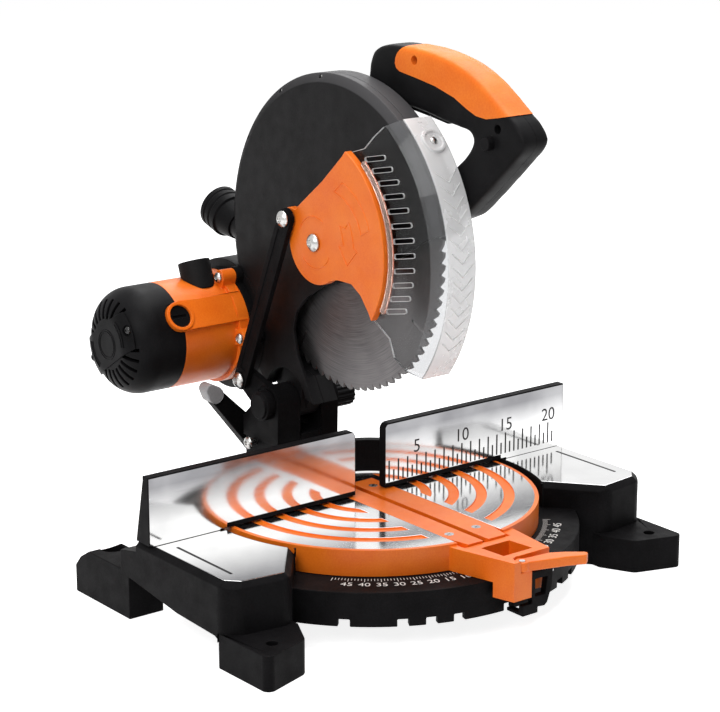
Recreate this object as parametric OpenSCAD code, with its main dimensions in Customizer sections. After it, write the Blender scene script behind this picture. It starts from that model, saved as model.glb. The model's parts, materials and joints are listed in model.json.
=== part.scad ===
// Mitre saw with a belt-driven blade, a turning table, a tilting head and a swinging clear guard.
// X runs to the operator's right, Y to the rear, Z up. The origin is on the bench, at the middle of the four
// bench bolts. The modules below measure Y from the fence's face, and place() moves each one to that origin.

/* [Table] */
// Height of the table top above the bench
table_h = 70; // [66:1:76]
// Radius of the turning table
table_r = 140; // [132:1:142]
// Thickness of the table's top plate
table_t = 7; // [5:0.5:9]
// Thickness of the table's skirt
skirt_t = 7; // [5:0.5:10]
// Width of the groove of each table ring
ring_w = 8.5; // [4:0.5:9]
// Depth of the table rings
ring_depth = 1.2; // [0.5:0.1:2]
// Distance from one table ring to the next
ring_step = 23; // [18:0.5:24]
// Width of the kerf slot
kerf_w = 5.6; // [4:0.2:8]
// Thickness of the kerf inserts
insert_t = 4; // [3:0.5:5]

/* [Base] */
// Height of the mitre scale band
scale_h = 48; // [44:1:50]
// Outer radius of the mitre scale band
band_r = 174; // [168:1:178]
// Height of the underside of the band
band_bottom = 20; // [17:1:23]
// Half width of the base
wing_half = 217; // [205:1:225]
// Wall thickness of the base casting
base_wall = 6; // [4:0.5:9]
// Height of the bolted feet
foot_h = 28.5; // [20:0.5:34]
// Half spacing of the bench bolts across the saw
bolt_x = 196.4; // [188:0.1:200]
// Distance of the front bench bolts from the table axis
bolt_front = 131.4; // [126:0.1:138]
// Distance of the rear bench bolts from the table axis
bolt_rear = 90; // [70:1:98]
// Diameter of the bench bolt holes
bolt_d = 9; // [6:0.5:11]

/* [Fence] */
// Height of the fence above the table
fence_h = 56; // [44:1:58]
// Thickness of the fence plates
fence_t = 8; // [6:0.5:11]
// Gap between the two fence plates
fence_gap = 31; // [29:0.5:36]
// Inner radius of the arch that joins the plates
arch_r = 51.5; // [50:0.5:53]
// Thickness of the arch
arch_t = 8; // [5:0.5:9]

/* [Blade] */
// Diameter of the blade
blade_d = 255; // [245:1:256]
// Thickness of the blade
blade_t = 2.4; // [1.8:0.2:3.2]
// Number of teeth
teeth = 80; // [40:10:100]
// Diameter of the blade's bore
blade_bore = 30; // [25:1:32]
// Distance of the arbor behind the fence face
arbor_y = 34.4; // [33:0.2:36]
// Height of the arbor with the head raised
arbor_z = 281; // [280:0.5:284]

/* [Head] */
// Distance of the head hinge behind the fence face
hinge_y = 101; // [99:0.5:103]
// Height of the head hinge
hinge_z = 129; // [128:0.5:131]
// Diameter of the hinge shaft
hinge_d = 16; // [12:1:18]
// Radius of the upper guard
guard_r = 142; // [141:0.5:143]
// Half thickness of the upper guard
guard_half = 13; // [12.5:0.1:13.5]
// Wall thickness of the upper guard
guard_wall = 3; // [2:0.5:3.5]
// Rear offset of the guard link's pivots
link_y = 33; // [31:0.5:35]
// Upward offset of the guard link's pivots
link_z = 15.3; // [14:0.1:17]
// Thickness of the guard link
link_t = 5; // [4:0.5:6]

/* [Motor] */
// Distance of the motor axis behind the fence face
motor_y = 190; // [187:1:194]
// Height of the motor axis with the head raised
motor_z = 180; // [177:1:183]
// Outer radius of the motor housing
motor_r = 46.4; // [44:0.2:48]
// Wall thickness of the motor housing
motor_wall = 3.4; // [2.5:0.1:4.5]
// Length of the motor housing
motor_len = 65; // [60:1:72]
// Length of the motor's end cap
cap_len = 49; // [42:1:54]
// Turn of the brushes and the end cap about the motor axis
brush_turn = 148; // [140:1:156]
// Radius of the large pulley on the spindle
big_pulley = 25; // [22:0.5:27]
// Radius of the small pulley on the motor shaft
small_pulley = 16; // [13:0.5:18]

/* [Clear guard] */
// Clearance between the upper guard's rim and the clear guard's outside
shield_clear = 2.5; // [1.5:0.1:5]
// Wall thickness of the clear guard
shield_t = 2; // [1.4:0.1:2.4]
// Number of viewing slots in the clear guard
shield_slots = 12; // [6:1:13]

/* [Handle] */
// Thickness of the handle across the saw
handle_w = 30; // [26:1:34]
// Length of the trigger
trigger_len = 62; // [50:1:66]
// Thickness of the trigger across the saw
trigger_w = 14; // [10:1:18]

/* [Hidden] */
$fn = 64;

cut = 1;                 // overshoot of a cut past the face that it opens
gap = 0.3;               // clearance between bodies that move past each other
fit = 0.05;              // radial clearance of a shaft in its bore
orange = [0.93, 0.36, 0.06];
black = [0.10, 0.10, 0.11];
steel = [0.72, 0.73, 0.75];

frame_y = (bolt_front - bolt_rear) / 2;
arbor = [arbor_y, arbor_z];
hinge = [hinge_y, hinge_z];
motor = [motor_y, motor_z];
link_step = [link_y, link_z];
link_top = arbor + link_step;
link_foot = hinge + link_step;
blade_r = blade_d / 2;
guard_mid = [arbor_y + 3.6, arbor_z - 6.5];
cavity_r = blade_r + 4;
shield_r = guard_r + shield_clear;
cavity_half = guard_half - guard_wall;
seam = -2;               // joint line between the cover and the arm casting

// Table and pocket under the kerf
table_rear = 62;
pocket_half = 11;
pocket_wall = 5;
pocket_front = 146;
pocket_rear = 30;
pocket_floor = 44;
pocket_low_r = 124;
hub_z = 38;
insert_left_x = 22;
insert_right_x = 25;
ring_first = 46.5;
ring_count = 4;
ring_clear_x = 33;
arm_z = table_h - 2;
block_bottom = 36;
block_left = -15;
block_right = 31;
block_split = 3.5;
block_front = -196;
latch_face = -187;
block_rear = -(band_r + 3);
lever_post = [-3, -191.5];
lever_bottom = 58.5;
lever_top = 66.5;
lever_hub_r = 6;
lever_pin_d = 5;
latch_t = 6;
latch_pin_d = 3;
latch_pivot = [latch_face - gap - latch_t / 2, 51.5];
tooth_z = 20.5;
tooth_tip = -band_r - 0.6;

// Base outline, right half
wing_rear = 22;
wing_gap_r = table_r + 7;
nose_in = [131, -70];
nose_out = [165, -112];
corner_in = [206.5, -107];
corner_out = [wing_half, -95.5];
top_bevel = 4.5;
nose_r = 15;
floor_t = 6;
hub_r = 22;
bolt_shank = 14;
foot_in = 185;
foot_rear = 115;
rear_ring_h = 40;

// Tilt bracket and hinge
trunnion_r = 22;
trunnion_front = 64;
bracket_front = 86;
bracket_rear = 137;
bracket_half = 30;
bracket_top = 102;
ear_r = 16;
ear_left = [-32.5, -8.6];
ear_right = [13.3, 32];
knuckle = [ear_left[1] + 2 * gap, ear_right[0] - gap];
knuckle_r = 15;
tail_r = 25.5;           // reach of the lug that the hold-down pin stops
bevel_d = 12;
bevel_stud = 66;
bevel_nut = 155;
pin_d = 8;
pin_at = [118.5, 118.5];
link_x = ear_left[0] - gap - link_t;
link_bolt_d = 8;
stop_at = [122, 91];

// Motor stack along X
adapter_x = [-20, -guard_half];
housing_x = adapter_x[0] - motor_len;
cap_x = housing_x - cap_len;
lug_r = 53;
lug_turns = [0, 114.7, 180, 294.7];
lug_len = 14;
brush_x = housing_x - 2;
brush_d = 20;
shaft_d = 10;
seat_r = 58;
belt_x = [21, 35];
belt_cover_x = [guard_half, 42];
belt_t = 2.3;
boss_x = 20;

// Dust port
port_z = 268;
port_seat = guard_mid[0] + guard_r + 1.5;
port_len = 36.5;
port_tilt = 18;
port_r = 19.5;
port_bore = 16;

// Side plate and clear guard along X
plate_x = [-31, -24.2];
shield_x = [-24, -15, 12];
shield_mid = arbor + [-6, -3];
shield_inner = 84;
pivot_d = 10;

// Handle
handle_x = guard_half;
handle_mid = handle_x + handle_w / 2;
trigger_pivot = [-12, 400];
trigger_pin_d = 4;

// Two-dimensional outlines in the plane of the blade, as [rearward, upward]
module along_x(x0, x1) {
  translate([x0, 0, 0]) rotate([90, 0, 90]) linear_extrude(x1 - x0) children();
}

module along_y(y0, y1) {
  translate([0, y1, 0]) rotate([90, 0, 0]) linear_extrude(y1 - y0) children();
}

module rod_x(p, d, x0, x1) {
  translate([x0, p[0], p[1]]) rotate([0, 90, 0]) cylinder(d = d, h = x1 - x0);
}

module rod_y(x, z, d, y0, y1) {
  translate([x, y1, z]) rotate([90, 0, 0]) cylinder(d = d, h = y1 - y0);
}

module disc(p, r) {
  translate(p) circle(r);
}

// A bar with round ends. Its sides lie a hair inside the tangent lines, so that they meet the ends cleanly
module bar(p, q, rp, rq) {
  disc(p, rp);
  disc(q, rq);
  bar_sides(p, q, rp, rq);
}

module bar_sides(p, q, rp, rq) {
  d = q - p;
  a = atan2(d[1], d[0]);
  t = acos((rp - rq) / norm(d));
  up = 0.998 * [cos(a + t), sin(a + t)];
  down = 0.998 * [cos(a - t), sin(a - t)];
  polygon([p + rp * up, q + rq * up, q + rq * down, p + rp * down]);
}

// The same bar as a solid along X, built from its three pieces
module bar_x(x0, x1, p, q, rp, rq) {
  along_x(x0, x1) disc(p, rp);
  along_x(x0, x1) disc(q, rq);
  along_x(x0, x1) bar_sides(p, q, rp, rq);
}

module bar_y(y0, y1, p, q, rp, rq) {
  along_y(y0, y1) disc(p, rp);
  along_y(y0, y1) disc(q, rq);
  along_y(y0, y1) bar_sides(p, q, rp, rq);
}

module place() {
  translate([0, frame_y, 0]) children();
}

module mirror_pair() {
  children();
  mirror([1, 0, 0]) children();
}

// A pan head with a shank, pointing along +X from its head
module pan_screw_x(p, x_face, head_d, head_h, shank_d, shank_l) {
  translate([x_face, p[0], p[1]]) rotate([0, 90, 0]) {
    difference() {
      intersection() {
        translate([0, 0, -head_h]) cylinder(d = head_d, h = head_h);
        translate([0, 0, head_d * 0.62 - head_h]) sphere(d = head_d * 1.24);
      }
      translate([0, 0, -head_h - cut]) cylinder(d = head_d * 0.4, h = head_h * 0.4 + cut, $fn = 6);
    }
    cylinder(d = shank_d, h = shank_l);
  }
}

function on_circle(p, r, a) = p + r * [cos(a), sin(a)];

// Base
module wing_outline(inset) {
  difference() {
    polygon([
      [wing_half - inset, wing_rear - inset], [wing_gap_r - 40, wing_rear - inset],
      [wing_gap_r - 40, nose_in[1]], nose_in + inset * [1.25, 0], nose_out + inset * [0.45, 1],
      corner_in + inset * [-0.7, 1], corner_out - inset * [1, 0]
    ]);
    circle(wing_gap_r + inset);
    if (inset == 0) {
      corner_round(nose_out, nose_in, corner_in, nose_r);
      corner_round(corner_in, nose_out, corner_out, nose_r - 2);
      corner_round(corner_out, corner_in, [wing_half, wing_rear], nose_r - 2);
    }
  }
}

// What is cut off the corner p between a and b, to round it with radius r
module corner_round(p, a, b, r) {
  u = (a - p) / norm(a - p);
  v = (b - p) / norm(b - p);
  half = acos(u * v) / 2;
  c = p + (u + v) / norm(u + v) * r / sin(half);
  difference() {
    polygon([
      c, c + (p + u * r / tan(half) - c) * 1.1, p + (p - c) * 0.2, c + (p + v * r / tan(half) - c) * 1.1
    ]);
    disc(c, r);
  }
}

// A wedge that bevels the top edge from a to b, with the casting on the left of that line
module edge_bevel(a, b, size) {
  d = b - a;
  translate([a[0], a[1], table_h]) rotate(atan2(d[1], d[0])) rotate([90, 0, 90]) translate([0, 0, -size])
    linear_extrude(norm(d) + 2 * size) polygon([[-cut, -size - cut], [size + cut, cut], [-cut, cut]]);
}

module foot_outline() {
  foot = [[wing_half - 1, -154], [172, -140], [158, -112], [158, -91], [wing_half, -91]];
  difference() {
    polygon(foot);
    corner_round(foot[0], foot[4], foot[1], 6);
    corner_round(foot[1], foot[0], foot[2], 9);
  }
}

module rear_foot_profile() {
  polygon([
    [wing_rear - 8, 0], [wing_rear - 8, table_h - 8], [45, table_h - 14], [70, table_h - 21],
    [92, table_h - 29], [107, table_h - 38], [foot_rear, table_h - 47], [foot_rear, 0]
  ]);
}

module half_base() {
  difference() {
    union() {
      linear_extrude(table_h) wing_outline(0);
      linear_extrude(foot_h) foot_outline();
      along_x(foot_in, wing_half) rear_foot_profile();
    }
    translate([0, 0, -cut]) linear_extrude(table_h - base_wall - 2 + cut) wing_outline(base_wall);
    along_x(wing_gap_r - 20, wing_half + cut) polygon([
      [-91, -cut], [-91, 22], [-86, 24.5], [-34.6, 26.5], [33, 35.5], [33, -cut]
    ]);
    edge_bevel(nose_in, nose_out, top_bevel);
    edge_bevel(nose_out, corner_in, top_bevel);
    edge_bevel(corner_in, corner_out, top_bevel + 0.7);
    edge_bevel(corner_out, [wing_half, wing_rear], top_bevel);
    translate([bolt_x, -bolt_front, -cut]) cylinder(d = bolt_d, h = foot_h + 2 * cut);
    for (x = fence_bolt_x) translate([x, fence_bolt_y, table_h - base_wall - 3]) cylinder(d = 6, h = 20);
    translate([bolt_x, bolt_rear, -cut]) cylinder(d = bolt_d, h = table_h);
    translate([bolt_x, bolt_rear, foot_h]) cylinder(d = bolt_d * 2.2, h = table_h);
  }
}

module base_casting() {
  place() color(black) difference() {
    union() {
      mirror_pair() half_base();
      translate([0, 0, band_bottom]) cylinder(r = wing_gap_r + 1, h = scale_h - band_bottom);
      intersection() {
        translate([0, 0, band_bottom]) cylinder(r = band_r, h = scale_h - band_bottom);
        linear_extrude(scale_h) polygon([[0, 0], [wing_gap_r * 1.5, -60], [nose_in[0], -300], [-nose_in[0], -300],
          [-wing_gap_r * 1.5, -60]]);
      }
    }
    translate([0, 0, band_bottom + floor_t]) cylinder(r = table_r - 12, h = table_h);
    for (a = [20:40:340]) rotate(a) translate([75, 0, 0]) cylinder(r = 20, h = table_h);
    difference() {
      translate([0, 0, band_bottom - cut]) cylinder(r = band_r - base_wall, h = scale_h - base_wall - band_bottom + cut);
      cylinder(r = table_r + 2, h = scale_h);
      mirror_pair() linear_extrude(scale_h) wing_outline(0);
    }
    translate([-wing_half, 45, rear_ring_h]) cube([2 * wing_half, 200, 2 * (scale_h - rear_ring_h)]);
    for (a = [0, 15, 22.5, 30, 45], s = [-1, 1]) rotate(s * a) {
      translate([-4.5, -band_r - cut, band_bottom - cut]) cube([9, base_wall + 4, 6 + cut]);
    }
    cylinder(d = bolt_shank, h = table_h);
  }
  place() color(black) difference() {
    translate([0, 0, band_bottom]) cylinder(r = hub_r, h = hub_z - band_bottom);
    cylinder(d = bolt_shank, h = table_h);
  }
}

// Fence
module fence_plate() {
  corner = 6;
  difference() {
    square([wing_half + 1 - fence_gap / 2, fence_h]);
    translate([0, fence_h - corner]) difference() {
      translate([-cut, 0]) square(corner + cut);
      translate([corner, 0]) circle(corner);
    }
  }
}

module half_fence() {
  lift = 0.8;
  translate([fence_gap / 2, 0, table_h + lift]) along_y(0, fence_t) fence_plate();
  translate([wing_gap_r + 4, 0, table_h]) cube([wing_half - wing_gap_r - 6, wing_rear - 1, 7]);
  for (x = [wing_half - 4, 95]) along_x(x, x + 5) polygon([
    [fence_t - cut, table_h + lift], [fence_t + 11, table_h + lift], [fence_t, table_h + fence_h - 3],
    [fence_t - cut, table_h + fence_h - 3]
  ]);
}

module fence() {
  arch_top = table_h + 30;
  place() color(steel) difference() {
    union() {
      mirror_pair() half_fence();
      intersection() {
        translate([0, 0, table_h + 2]) difference() {
          cylinder(r = arch_r + arch_t, h = arch_top - table_h - 2);
          translate([0, 0, -cut]) cylinder(r = arch_r, h = arch_top);
        }
        translate([-wing_half, fence_t / 2, 0]) cube([2 * wing_half, 200, 200]);
      }
    }
    mirror_pair() for (x = fence_bolt_x) translate([x, fence_bolt_y, 0]) cylinder(d = 6, h = 100);
  }
}

fence_bolt_x = [165, 198];
fence_bolt_y = 15;

module fence_bolts() {
  head_z = table_h + 7;
  place() color(steel) mirror_pair() for (x = fence_bolt_x) translate([x, fence_bolt_y, 0]) {
    translate([0, 0, head_z]) cylinder(d = 10, h = 5, $fn = 6);
    translate([0, 0, table_h - base_wall]) cylinder(d = 6, h = head_z - table_h + base_wall);
  }
}

module centre_bolt() {
  place() color(steel) {
    translate([0, 0, 8]) cylinder(d = bolt_shank, h = pocket_floor - 6);
    translate([0, 0, pocket_floor + 0.5 + gap]) cylinder(d = 20, h = 6, $fn = 6);
    difference() {
      translate([0, 0, band_bottom - 10]) cylinder(d = 24, h = 10, $fn = 6);
      translate([0, 0, 0]) cylinder(d = bolt_shank, h = 60);
    }
  }
}

// Turning table
module table_arm() {
  polygon([
    [-32, -120], [-29, -142], [block_left, block_front], [block_split, block_front],
    [block_split, latch_face], [block_right, latch_face], [38, -136], [40, -120]
  ]);
}

module table_rings() {
  for (i = [0:ring_count - 1]) {
    r = ring_first + i * ring_step;
    difference() {
      translate([0, 0, table_h - ring_depth]) cylinder(r = r + ring_w / 2, h = ring_depth + cut);
      translate([0, 0, table_h - ring_depth - cut]) cylinder(r = r - ring_w / 2, h = ring_depth + 3 * cut);
      translate([-ring_clear_x, -200, 0]) cube([2 * ring_clear_x, 400, 200]);
    }
  }
}

module turntable() {
  skirt_bottom = scale_h + gap;
  place() color(orange) difference() {
    union() {
      intersection() {
        union() {
          difference() {
            translate([0, 0, skirt_bottom]) cylinder(r = table_r, h = table_h - skirt_bottom);
            translate([0, 0, skirt_bottom - cut]) cylinder(r = table_r - skirt_t, h = table_h - table_t - skirt_bottom + cut);
          }
          translate([-pocket_half - pocket_wall, -pocket_front, skirt_bottom])
            cube([2 * (pocket_half + pocket_wall), pocket_front + table_rear, table_h - skirt_bottom]);
        }
        translate([-wing_half, -300, 0]) cube([2 * wing_half, 300 + table_rear, 200]);
      }
      intersection() {
        translate([-pocket_half - pocket_wall, -pocket_front, hub_z + gap])
          cube([2 * (pocket_half + pocket_wall), pocket_front + table_rear, table_h - hub_z - gap - table_t]);
        cylinder(r = pocket_low_r, h = 200);
      }
      translate([0, 0, hub_z + gap]) cylinder(r = hub_r, h = pocket_floor - hub_z - gap);
      translate([-bracket_half, table_rear - 12, skirt_bottom + 1])
        cube([2 * bracket_half, 18, table_h - skirt_bottom - 1]);
      rod_y(0, table_h, 2 * trunnion_r, trunnion_front, bracket_front - gap);
      translate([0, 0, skirt_bottom]) linear_extrude(arm_z - skirt_bottom) table_arm();
      intersection() {
        translate([0, 0, block_bottom]) linear_extrude(arm_z - block_bottom) table_arm();
        translate([-100, -300, 0]) cube([200, 300 + block_rear, 200]);
      }
    }
    table_rings();
    translate([-insert_left_x - gap, -pocket_front, table_h - insert_t])
      cube([insert_left_x + insert_right_x + 2 * gap, pocket_front + pocket_rear, insert_t + cut]);
    translate([-pocket_half, -pocket_front + pocket_wall, pocket_floor + 0.5])
      intersection() {
        cube([2 * pocket_half, pocket_front + pocket_rear - 2 * pocket_wall, table_h]);
        translate([pocket_half, pocket_front - pocket_wall, -100]) cylinder(r = pocket_low_r - pocket_wall, h = 300);
      }
    translate([-pocket_half, -pocket_front + pocket_wall, skirt_bottom + 6])
      cube([2 * pocket_half, pocket_front + pocket_rear - 2 * pocket_wall, table_h]);
    translate([-5, -180, scale_h]) linear_extrude(table_h) polygon([[-5, 2], [-7, 26], [22, 26], [25, 2]]);
    translate([lever_post[0], lever_post[1], lever_bottom - gap]) cylinder(r = lever_hub_r + 2 * gap, h = table_h);
    translate([lever_post[0], -300, lever_bottom - gap]) cube([60, 300 + latch_face + 1.8, table_h]);
    translate([lever_post[0], lever_post[1], block_bottom]) cylinder(d = lever_pin_d, h = table_h);
    rod_x(latch_pivot, latch_pin_d, 0.5, 20);
    translate([block_split, latch_face - cut, block_bottom - cut]) cube([40, 2.6 + cut, latch_pivot[1] - block_bottom]);
    translate([0, 0, hub_z - cut]) cylinder(d = bolt_shank + 2 * fit, h = 40);
    rod_y(0, table_h, bevel_d, bevel_stud, bracket_front + cut);
    for (p = insert_screw_at) translate([p[0], p[1], table_h - insert_t - 10]) cylinder(d = 4, h = 20);
  }
}

insert_screw_at = [[-14, -118], [14, -118], [-14, 14], [14, 14]];

module insert_half(inner, outer) {
  flare = 8;
  difference() {
    translate([0, 0, table_h - insert_t]) linear_extrude(insert_t - 0.2) polygon([
      [inner, pocket_rear - gap], [outer, pocket_rear - gap], [outer, -pocket_front + 20],
      [outer - sign(outer) * flare / 2, -pocket_front + gap], [inner, -pocket_front + gap]
    ]);
    for (p = insert_screw_at) translate([p[0], p[1], table_h - 2]) cylinder(d1 = 4, d2 = 8.4, h = 2.2);
    for (p = insert_screw_at) translate([p[0], p[1], table_h - 10]) cylinder(d = 4, h = 20);
  }
}

module insert_left() {
  place() color(orange) insert_half(-kerf_w / 2, -insert_left_x);
}

module insert_right() {
  place() color(orange) insert_half(kerf_w / 2, insert_right_x);
}

module insert_screws() {
  place() color(steel) for (p = insert_screw_at) translate([p[0], p[1], 0]) {
    difference() {
      translate([0, 0, table_h - 2]) cylinder(d1 = 4, d2 = 7.6, h = 1.8);
      translate([0, 0, table_h - 1]) cylinder(d = 2.4, h = 3, $fn = 6);
    }
    translate([0, 0, table_h - 13]) cylinder(d = 4, h = 11);
  }
}

// A blade of sheet steel in the arm's window, over the scale
module mitre_pointer() {
  place() color([0.8, 0.1, 0.08]) translate([0, 0, scale_h + 1]) linear_extrude(1) polygon([
    [2, -154], [12, -154], [12, -160], [7.8, -170], [6.2, -170], [2, -160]
  ]);
}

module mitre_lock_lever() {
  tip = 49;
  place() color(orange) difference() {
    translate([0, 0, lever_bottom]) union() {
      translate(lever_post) cylinder(r = lever_hub_r, h = lever_top - lever_bottom);
      linear_extrude(lever_top - lever_bottom) polygon([
        lever_post + [0, 4], [26, -190.5], [36, -196], [tip, -206], [tip + 1, -209], [tip - 4, -213], [30, -206.5],
        lever_post + [0, 1 - lever_hub_r]
      ]);
    }
    translate([lever_post[0], lever_post[1], 0]) cylinder(d = lever_pin_d + 2 * fit, h = 100);
  }
}

module lever_pin() {
  place() color(steel) translate([lever_post[0], lever_post[1], block_bottom + 6])
    cylinder(d = lever_pin_d, h = lever_top - block_bottom - 6);
}

// Latch that swings in at its foot, so that its tooth enters a notch of the band
module detent_latch() {
  face = latch_face - gap;
  back = face - latch_t;
  place() color(black) difference() {
    union() {
      along_y(back, face) polygon([
        [4.5, 55], [4.5, 40], [7.2, 29.6], [10.4, 25.5], [19.9, 24.5], [23, 27], [27.5, 39.6], [28.5, 55]
      ]);
      translate([-3, back, tooth_z]) cube([16, latch_t - 1, 9]);
      translate([-3, back, tooth_z]) cube([6, tooth_tip - back, 3]);
    }
    along_y(back - cut, face + cut) polygon([[10, 48.5], [10, 34.5], [20.4, 34.5], [22.4, 48.5]]);
    rod_x(latch_pivot, latch_pin_d + 2 * fit, -40, 60);
  }
}

module latch_pin() {
  place() color(steel) rod_x(latch_pivot, latch_pin_d, 0.5, 30);
}

module bevel_bolt() {
  place() color(steel) {
    rod_y(0, table_h, bevel_d, bevel_stud, bevel_nut + 8);
    translate([0, bevel_nut + 5, table_h]) rotate([90, 0, 0]) cylinder(d = 22, h = 5, $fn = 6);
  }
}

// Tilt bracket
module ear() {
  disc(hinge, ear_r);
  polygon([
    [bracket_front, bracket_top - 8], [bracket_front - 1, hinge[1]], [hinge[0] + ear_r, hinge[1]],
    [bracket_rear, bracket_top + 10], [bracket_rear, bracket_top - 8]
  ]);
}

module tilt_bracket() {
  place() color(black) difference() {
    union() {
      rod_y(0, table_h, 2 * trunnion_r, bracket_front, bracket_rear);
      translate([-bracket_half, bracket_front, table_h])
        cube([2 * bracket_half, bracket_rear - bracket_front, bracket_top - table_h]);
      along_x(ear_left[0], ear_left[1]) ear();
      along_x(ear_right[0], ear_right[1]) ear();
      bar_x(ear_left[0] + 0.5, ear_left[0] + 7, hinge, link_foot, ear_r, 11);
      rod_x(pin_at, 20, ear_right[1] - cut, ear_right[1] + 2.5);
    }
    rod_y(0, table_h, bevel_d + 2 * fit, bracket_front - cut, bracket_rear + cut);
    rod_x(hinge, hinge_d, -60, 60);
    rod_x(link_foot, link_bolt_d, -60, 0);
    rod_x(pin_at, pin_d + 2 * fit, ear_right[0] - cut, 60);
    rod_x(stop_at, 6, -60, -12);
  }
}

module hinge_shaft() {
  place() color(steel) rod_x(hinge, hinge_d, ear_left[0] - 4, ear_right[1] + 2);
}

module hinge_cap() {
  cap_d = 26;
  place() color(black) difference() {
    union() {
      rod_x(hinge, cap_d, ear_left[0] - 8, ear_left[0]);
      rod_x(hinge, cap_d - 4, ear_left[0] - 10, ear_left[0] - 8);
    }
    rod_x(hinge, hinge_d, ear_left[0] - 4, 0);
  }
}

module bevel_stop_screws() {
  place() color(steel) pan_screw_x(stop_at, -bracket_half - 6, 11, 5, 6, 22);
}

// Torsion spring in its sleeve, round the hinge shaft in the knuckle
module return_spring() {
  place() color(steel) difference() {
    rod_x(hinge, hinge_d + 7, -3, 8);
    rod_x(hinge, hinge_d + 2 * gap, -10, 12);
  }
}

module link_lower_bolt() {
  place() color(steel) pan_screw_x(link_foot, link_x - gap, 14, 5, link_bolt_d, link_t + 2 * gap + 6);
}

lever_end = [-58, table_h + 63];

module bevel_lock_lever() {
  place() color(black) difference() {
    union() {
      bar_y(bracket_rear + 4, bracket_rear + 15, [0, table_h], lever_end, 12, 6.5);
      rod_y(0, table_h, 26, bracket_rear + gap, bracket_rear + 17);
    }
    rod_y(0, table_h, bevel_d + 2 * fit, bracket_rear - cut, bracket_rear + 40);
  }
}

module bevel_lever_tip() {
  dir = (lever_end - [0, table_h]) / norm(lever_end - [0, table_h]);
  place() color([0.75, 0.76, 0.78]) difference() {
    bar_y(bracket_rear + 3, bracket_rear + 16, lever_end, lever_end + 7 * dir, 7.5, 5);
    bar_y(bracket_rear + 4, bracket_rear + 15, [0, table_h], lever_end, 12, 6.5);
  }
}

module hold_down_pin() {
  place() color(steel) rod_x(pin_at, pin_d, ear_right[0] + 1, ear_right[1] + 24);
}

module hold_down_knob() {
  knob_x = ear_right[1] + 14.5;
  place() color(black) difference() {
    rod_x(pin_at, 22, knob_x, knob_x + 22);
    rod_x(pin_at, pin_d, knob_x - cut, ear_right[1] + 24);
    for (a = [0:24:336]) rod_x(on_circle(pin_at, 11.6, a), 3, knob_x + 3, knob_x + 30);
  }
}

// Head: arm casting and guard cover
module head_outline() {
  difference() {
    union() {
      disc(guard_mid, guard_r);
      bar(hinge, [84, 215], knuckle_r, 46);
      bar(motor, [96, 235], 40, 40);
      bar(hinge, [150, 190], knuckle_r, 20);
    }
    opening();
  }
}

// Where the guard is cut away to let the blade out
module opening() {
  polygon([
    [-160, 330], [-90, 302], [-20, 262], [12, 250], [44, 241], [70, 226], [85, 210], [89, 194],
    [84, 174], [72, 154], [64, 140], [40, 100], [-160, 100]
  ]);
}

module cavity() {
  rod_x(arbor, 2 * cavity_r, -cavity_half, cavity_half);
}

// The dust port's own frame: its seat at the origin, its axis along y
module at_port() {
  translate([0, port_seat, port_z]) rotate([port_tilt, 0, 0]) children();
}

module port_boss(extra) {
  at_port() rod_y(0, 0, 25 + 2 * extra, -60, extra);
}

module arm_casting() {
  place() color(black) difference() {
    union() {
      along_x(seam, guard_half) head_outline();
      along_x(knuckle[0], knuckle[1]) difference() {
        bar(hinge, hinge + [-4, 26], knuckle_r, knuckle_r);
        opening();
      }
      along_x(knuckle[0], knuckle[1]) polygon([
        on_circle(hinge, 12, -74), on_circle(hinge, tail_r, -66), on_circle(hinge, tail_r, -48),
        on_circle(hinge, 12, -40)
      ]);
      rod_x(motor, 2 * seat_r, -guard_half, guard_half);
      rod_x(arbor, 46, cavity_half - 3, boss_x);
      rod_x(motor, 36, guard_half - cut, boss_x);
      port_boss(0);
    }
    cavity();
    rod_x(arbor, 20, 0, boss_x + cut);
    rod_x(arbor, 32, cavity_half - 1, boss_x - 2);
    rod_x(motor, 12, -20, boss_x + cut);
    rod_x(motor, 26, 4, boss_x - 2);
    rod_x(motor, 60, -guard_half - cut, 0);
    rod_x(hinge, hinge_d + 2 * fit, -20, 20);
    rod_x(hinge, hinge_d + 8, -3.3, 8.3);
    at_port() rod_y(0, 0, 18, -100, cut);
    at_port() rod_y(0, 0, 30, 0, 12);
    for (p = cover_screw_at) rod_x(p, 4, -guard_half, guard_half + cut);
    for (p = belt_screw_at()) rod_x(p, 4, 0, guard_half + cut);
    for (a = lug_turns) rod_x(on_circle(motor, lug_r, a), 5, -guard_half - cut, 2);
  }
}

cover_screw_at = [for (a = [6, 33, 60, 84]) on_circle(guard_mid, guard_r - 3.7, a)];

module guard_cover() {
  boss_d = 28;
  place() color(black) difference() {
    union() {
      difference() {
        along_x(-guard_half, seam - gap / 3) head_outline();
        guard_bevel();
        cavity();
      }
      rod_x(arbor, boss_d, plate_x[1] + gap, -cavity_half);
    }
    rod_x(motor, 2 * (seat_r + gap), -guard_half - cut, guard_half);
    rod_x(hinge, 2 * (knuckle_r + 14), -guard_half - cut, guard_half);
    port_boss(gap);
    at_port() rod_y(0, 0, 30, 0, 12);
    bar_x(knuckle[0] - gap, guard_half, hinge, hinge + [-4, 26], knuckle_r + gap, knuckle_r + gap);
    rod_x(arbor, pivot_d, -40, -cavity_half - 1);
    for (p = cover_screw_at) rod_x(p, 4, -guard_half + 2, guard_half);
  }
}

// The bevel round the left edge of the guard
module guard_bevel() {
  bevel_r = 8;
  bevel_x = 4;
  translate([-guard_half, guard_mid[0], guard_mid[1]]) rotate([90, 0, 90]) rotate(-25)
    rotate_extrude(angle = 210) polygon([
      [guard_r - bevel_r, -cut], [guard_r + cut, -cut], [guard_r + cut, bevel_x + cut * bevel_x / bevel_r],
      [guard_r - bevel_r, 0]
    ]);
}

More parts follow.
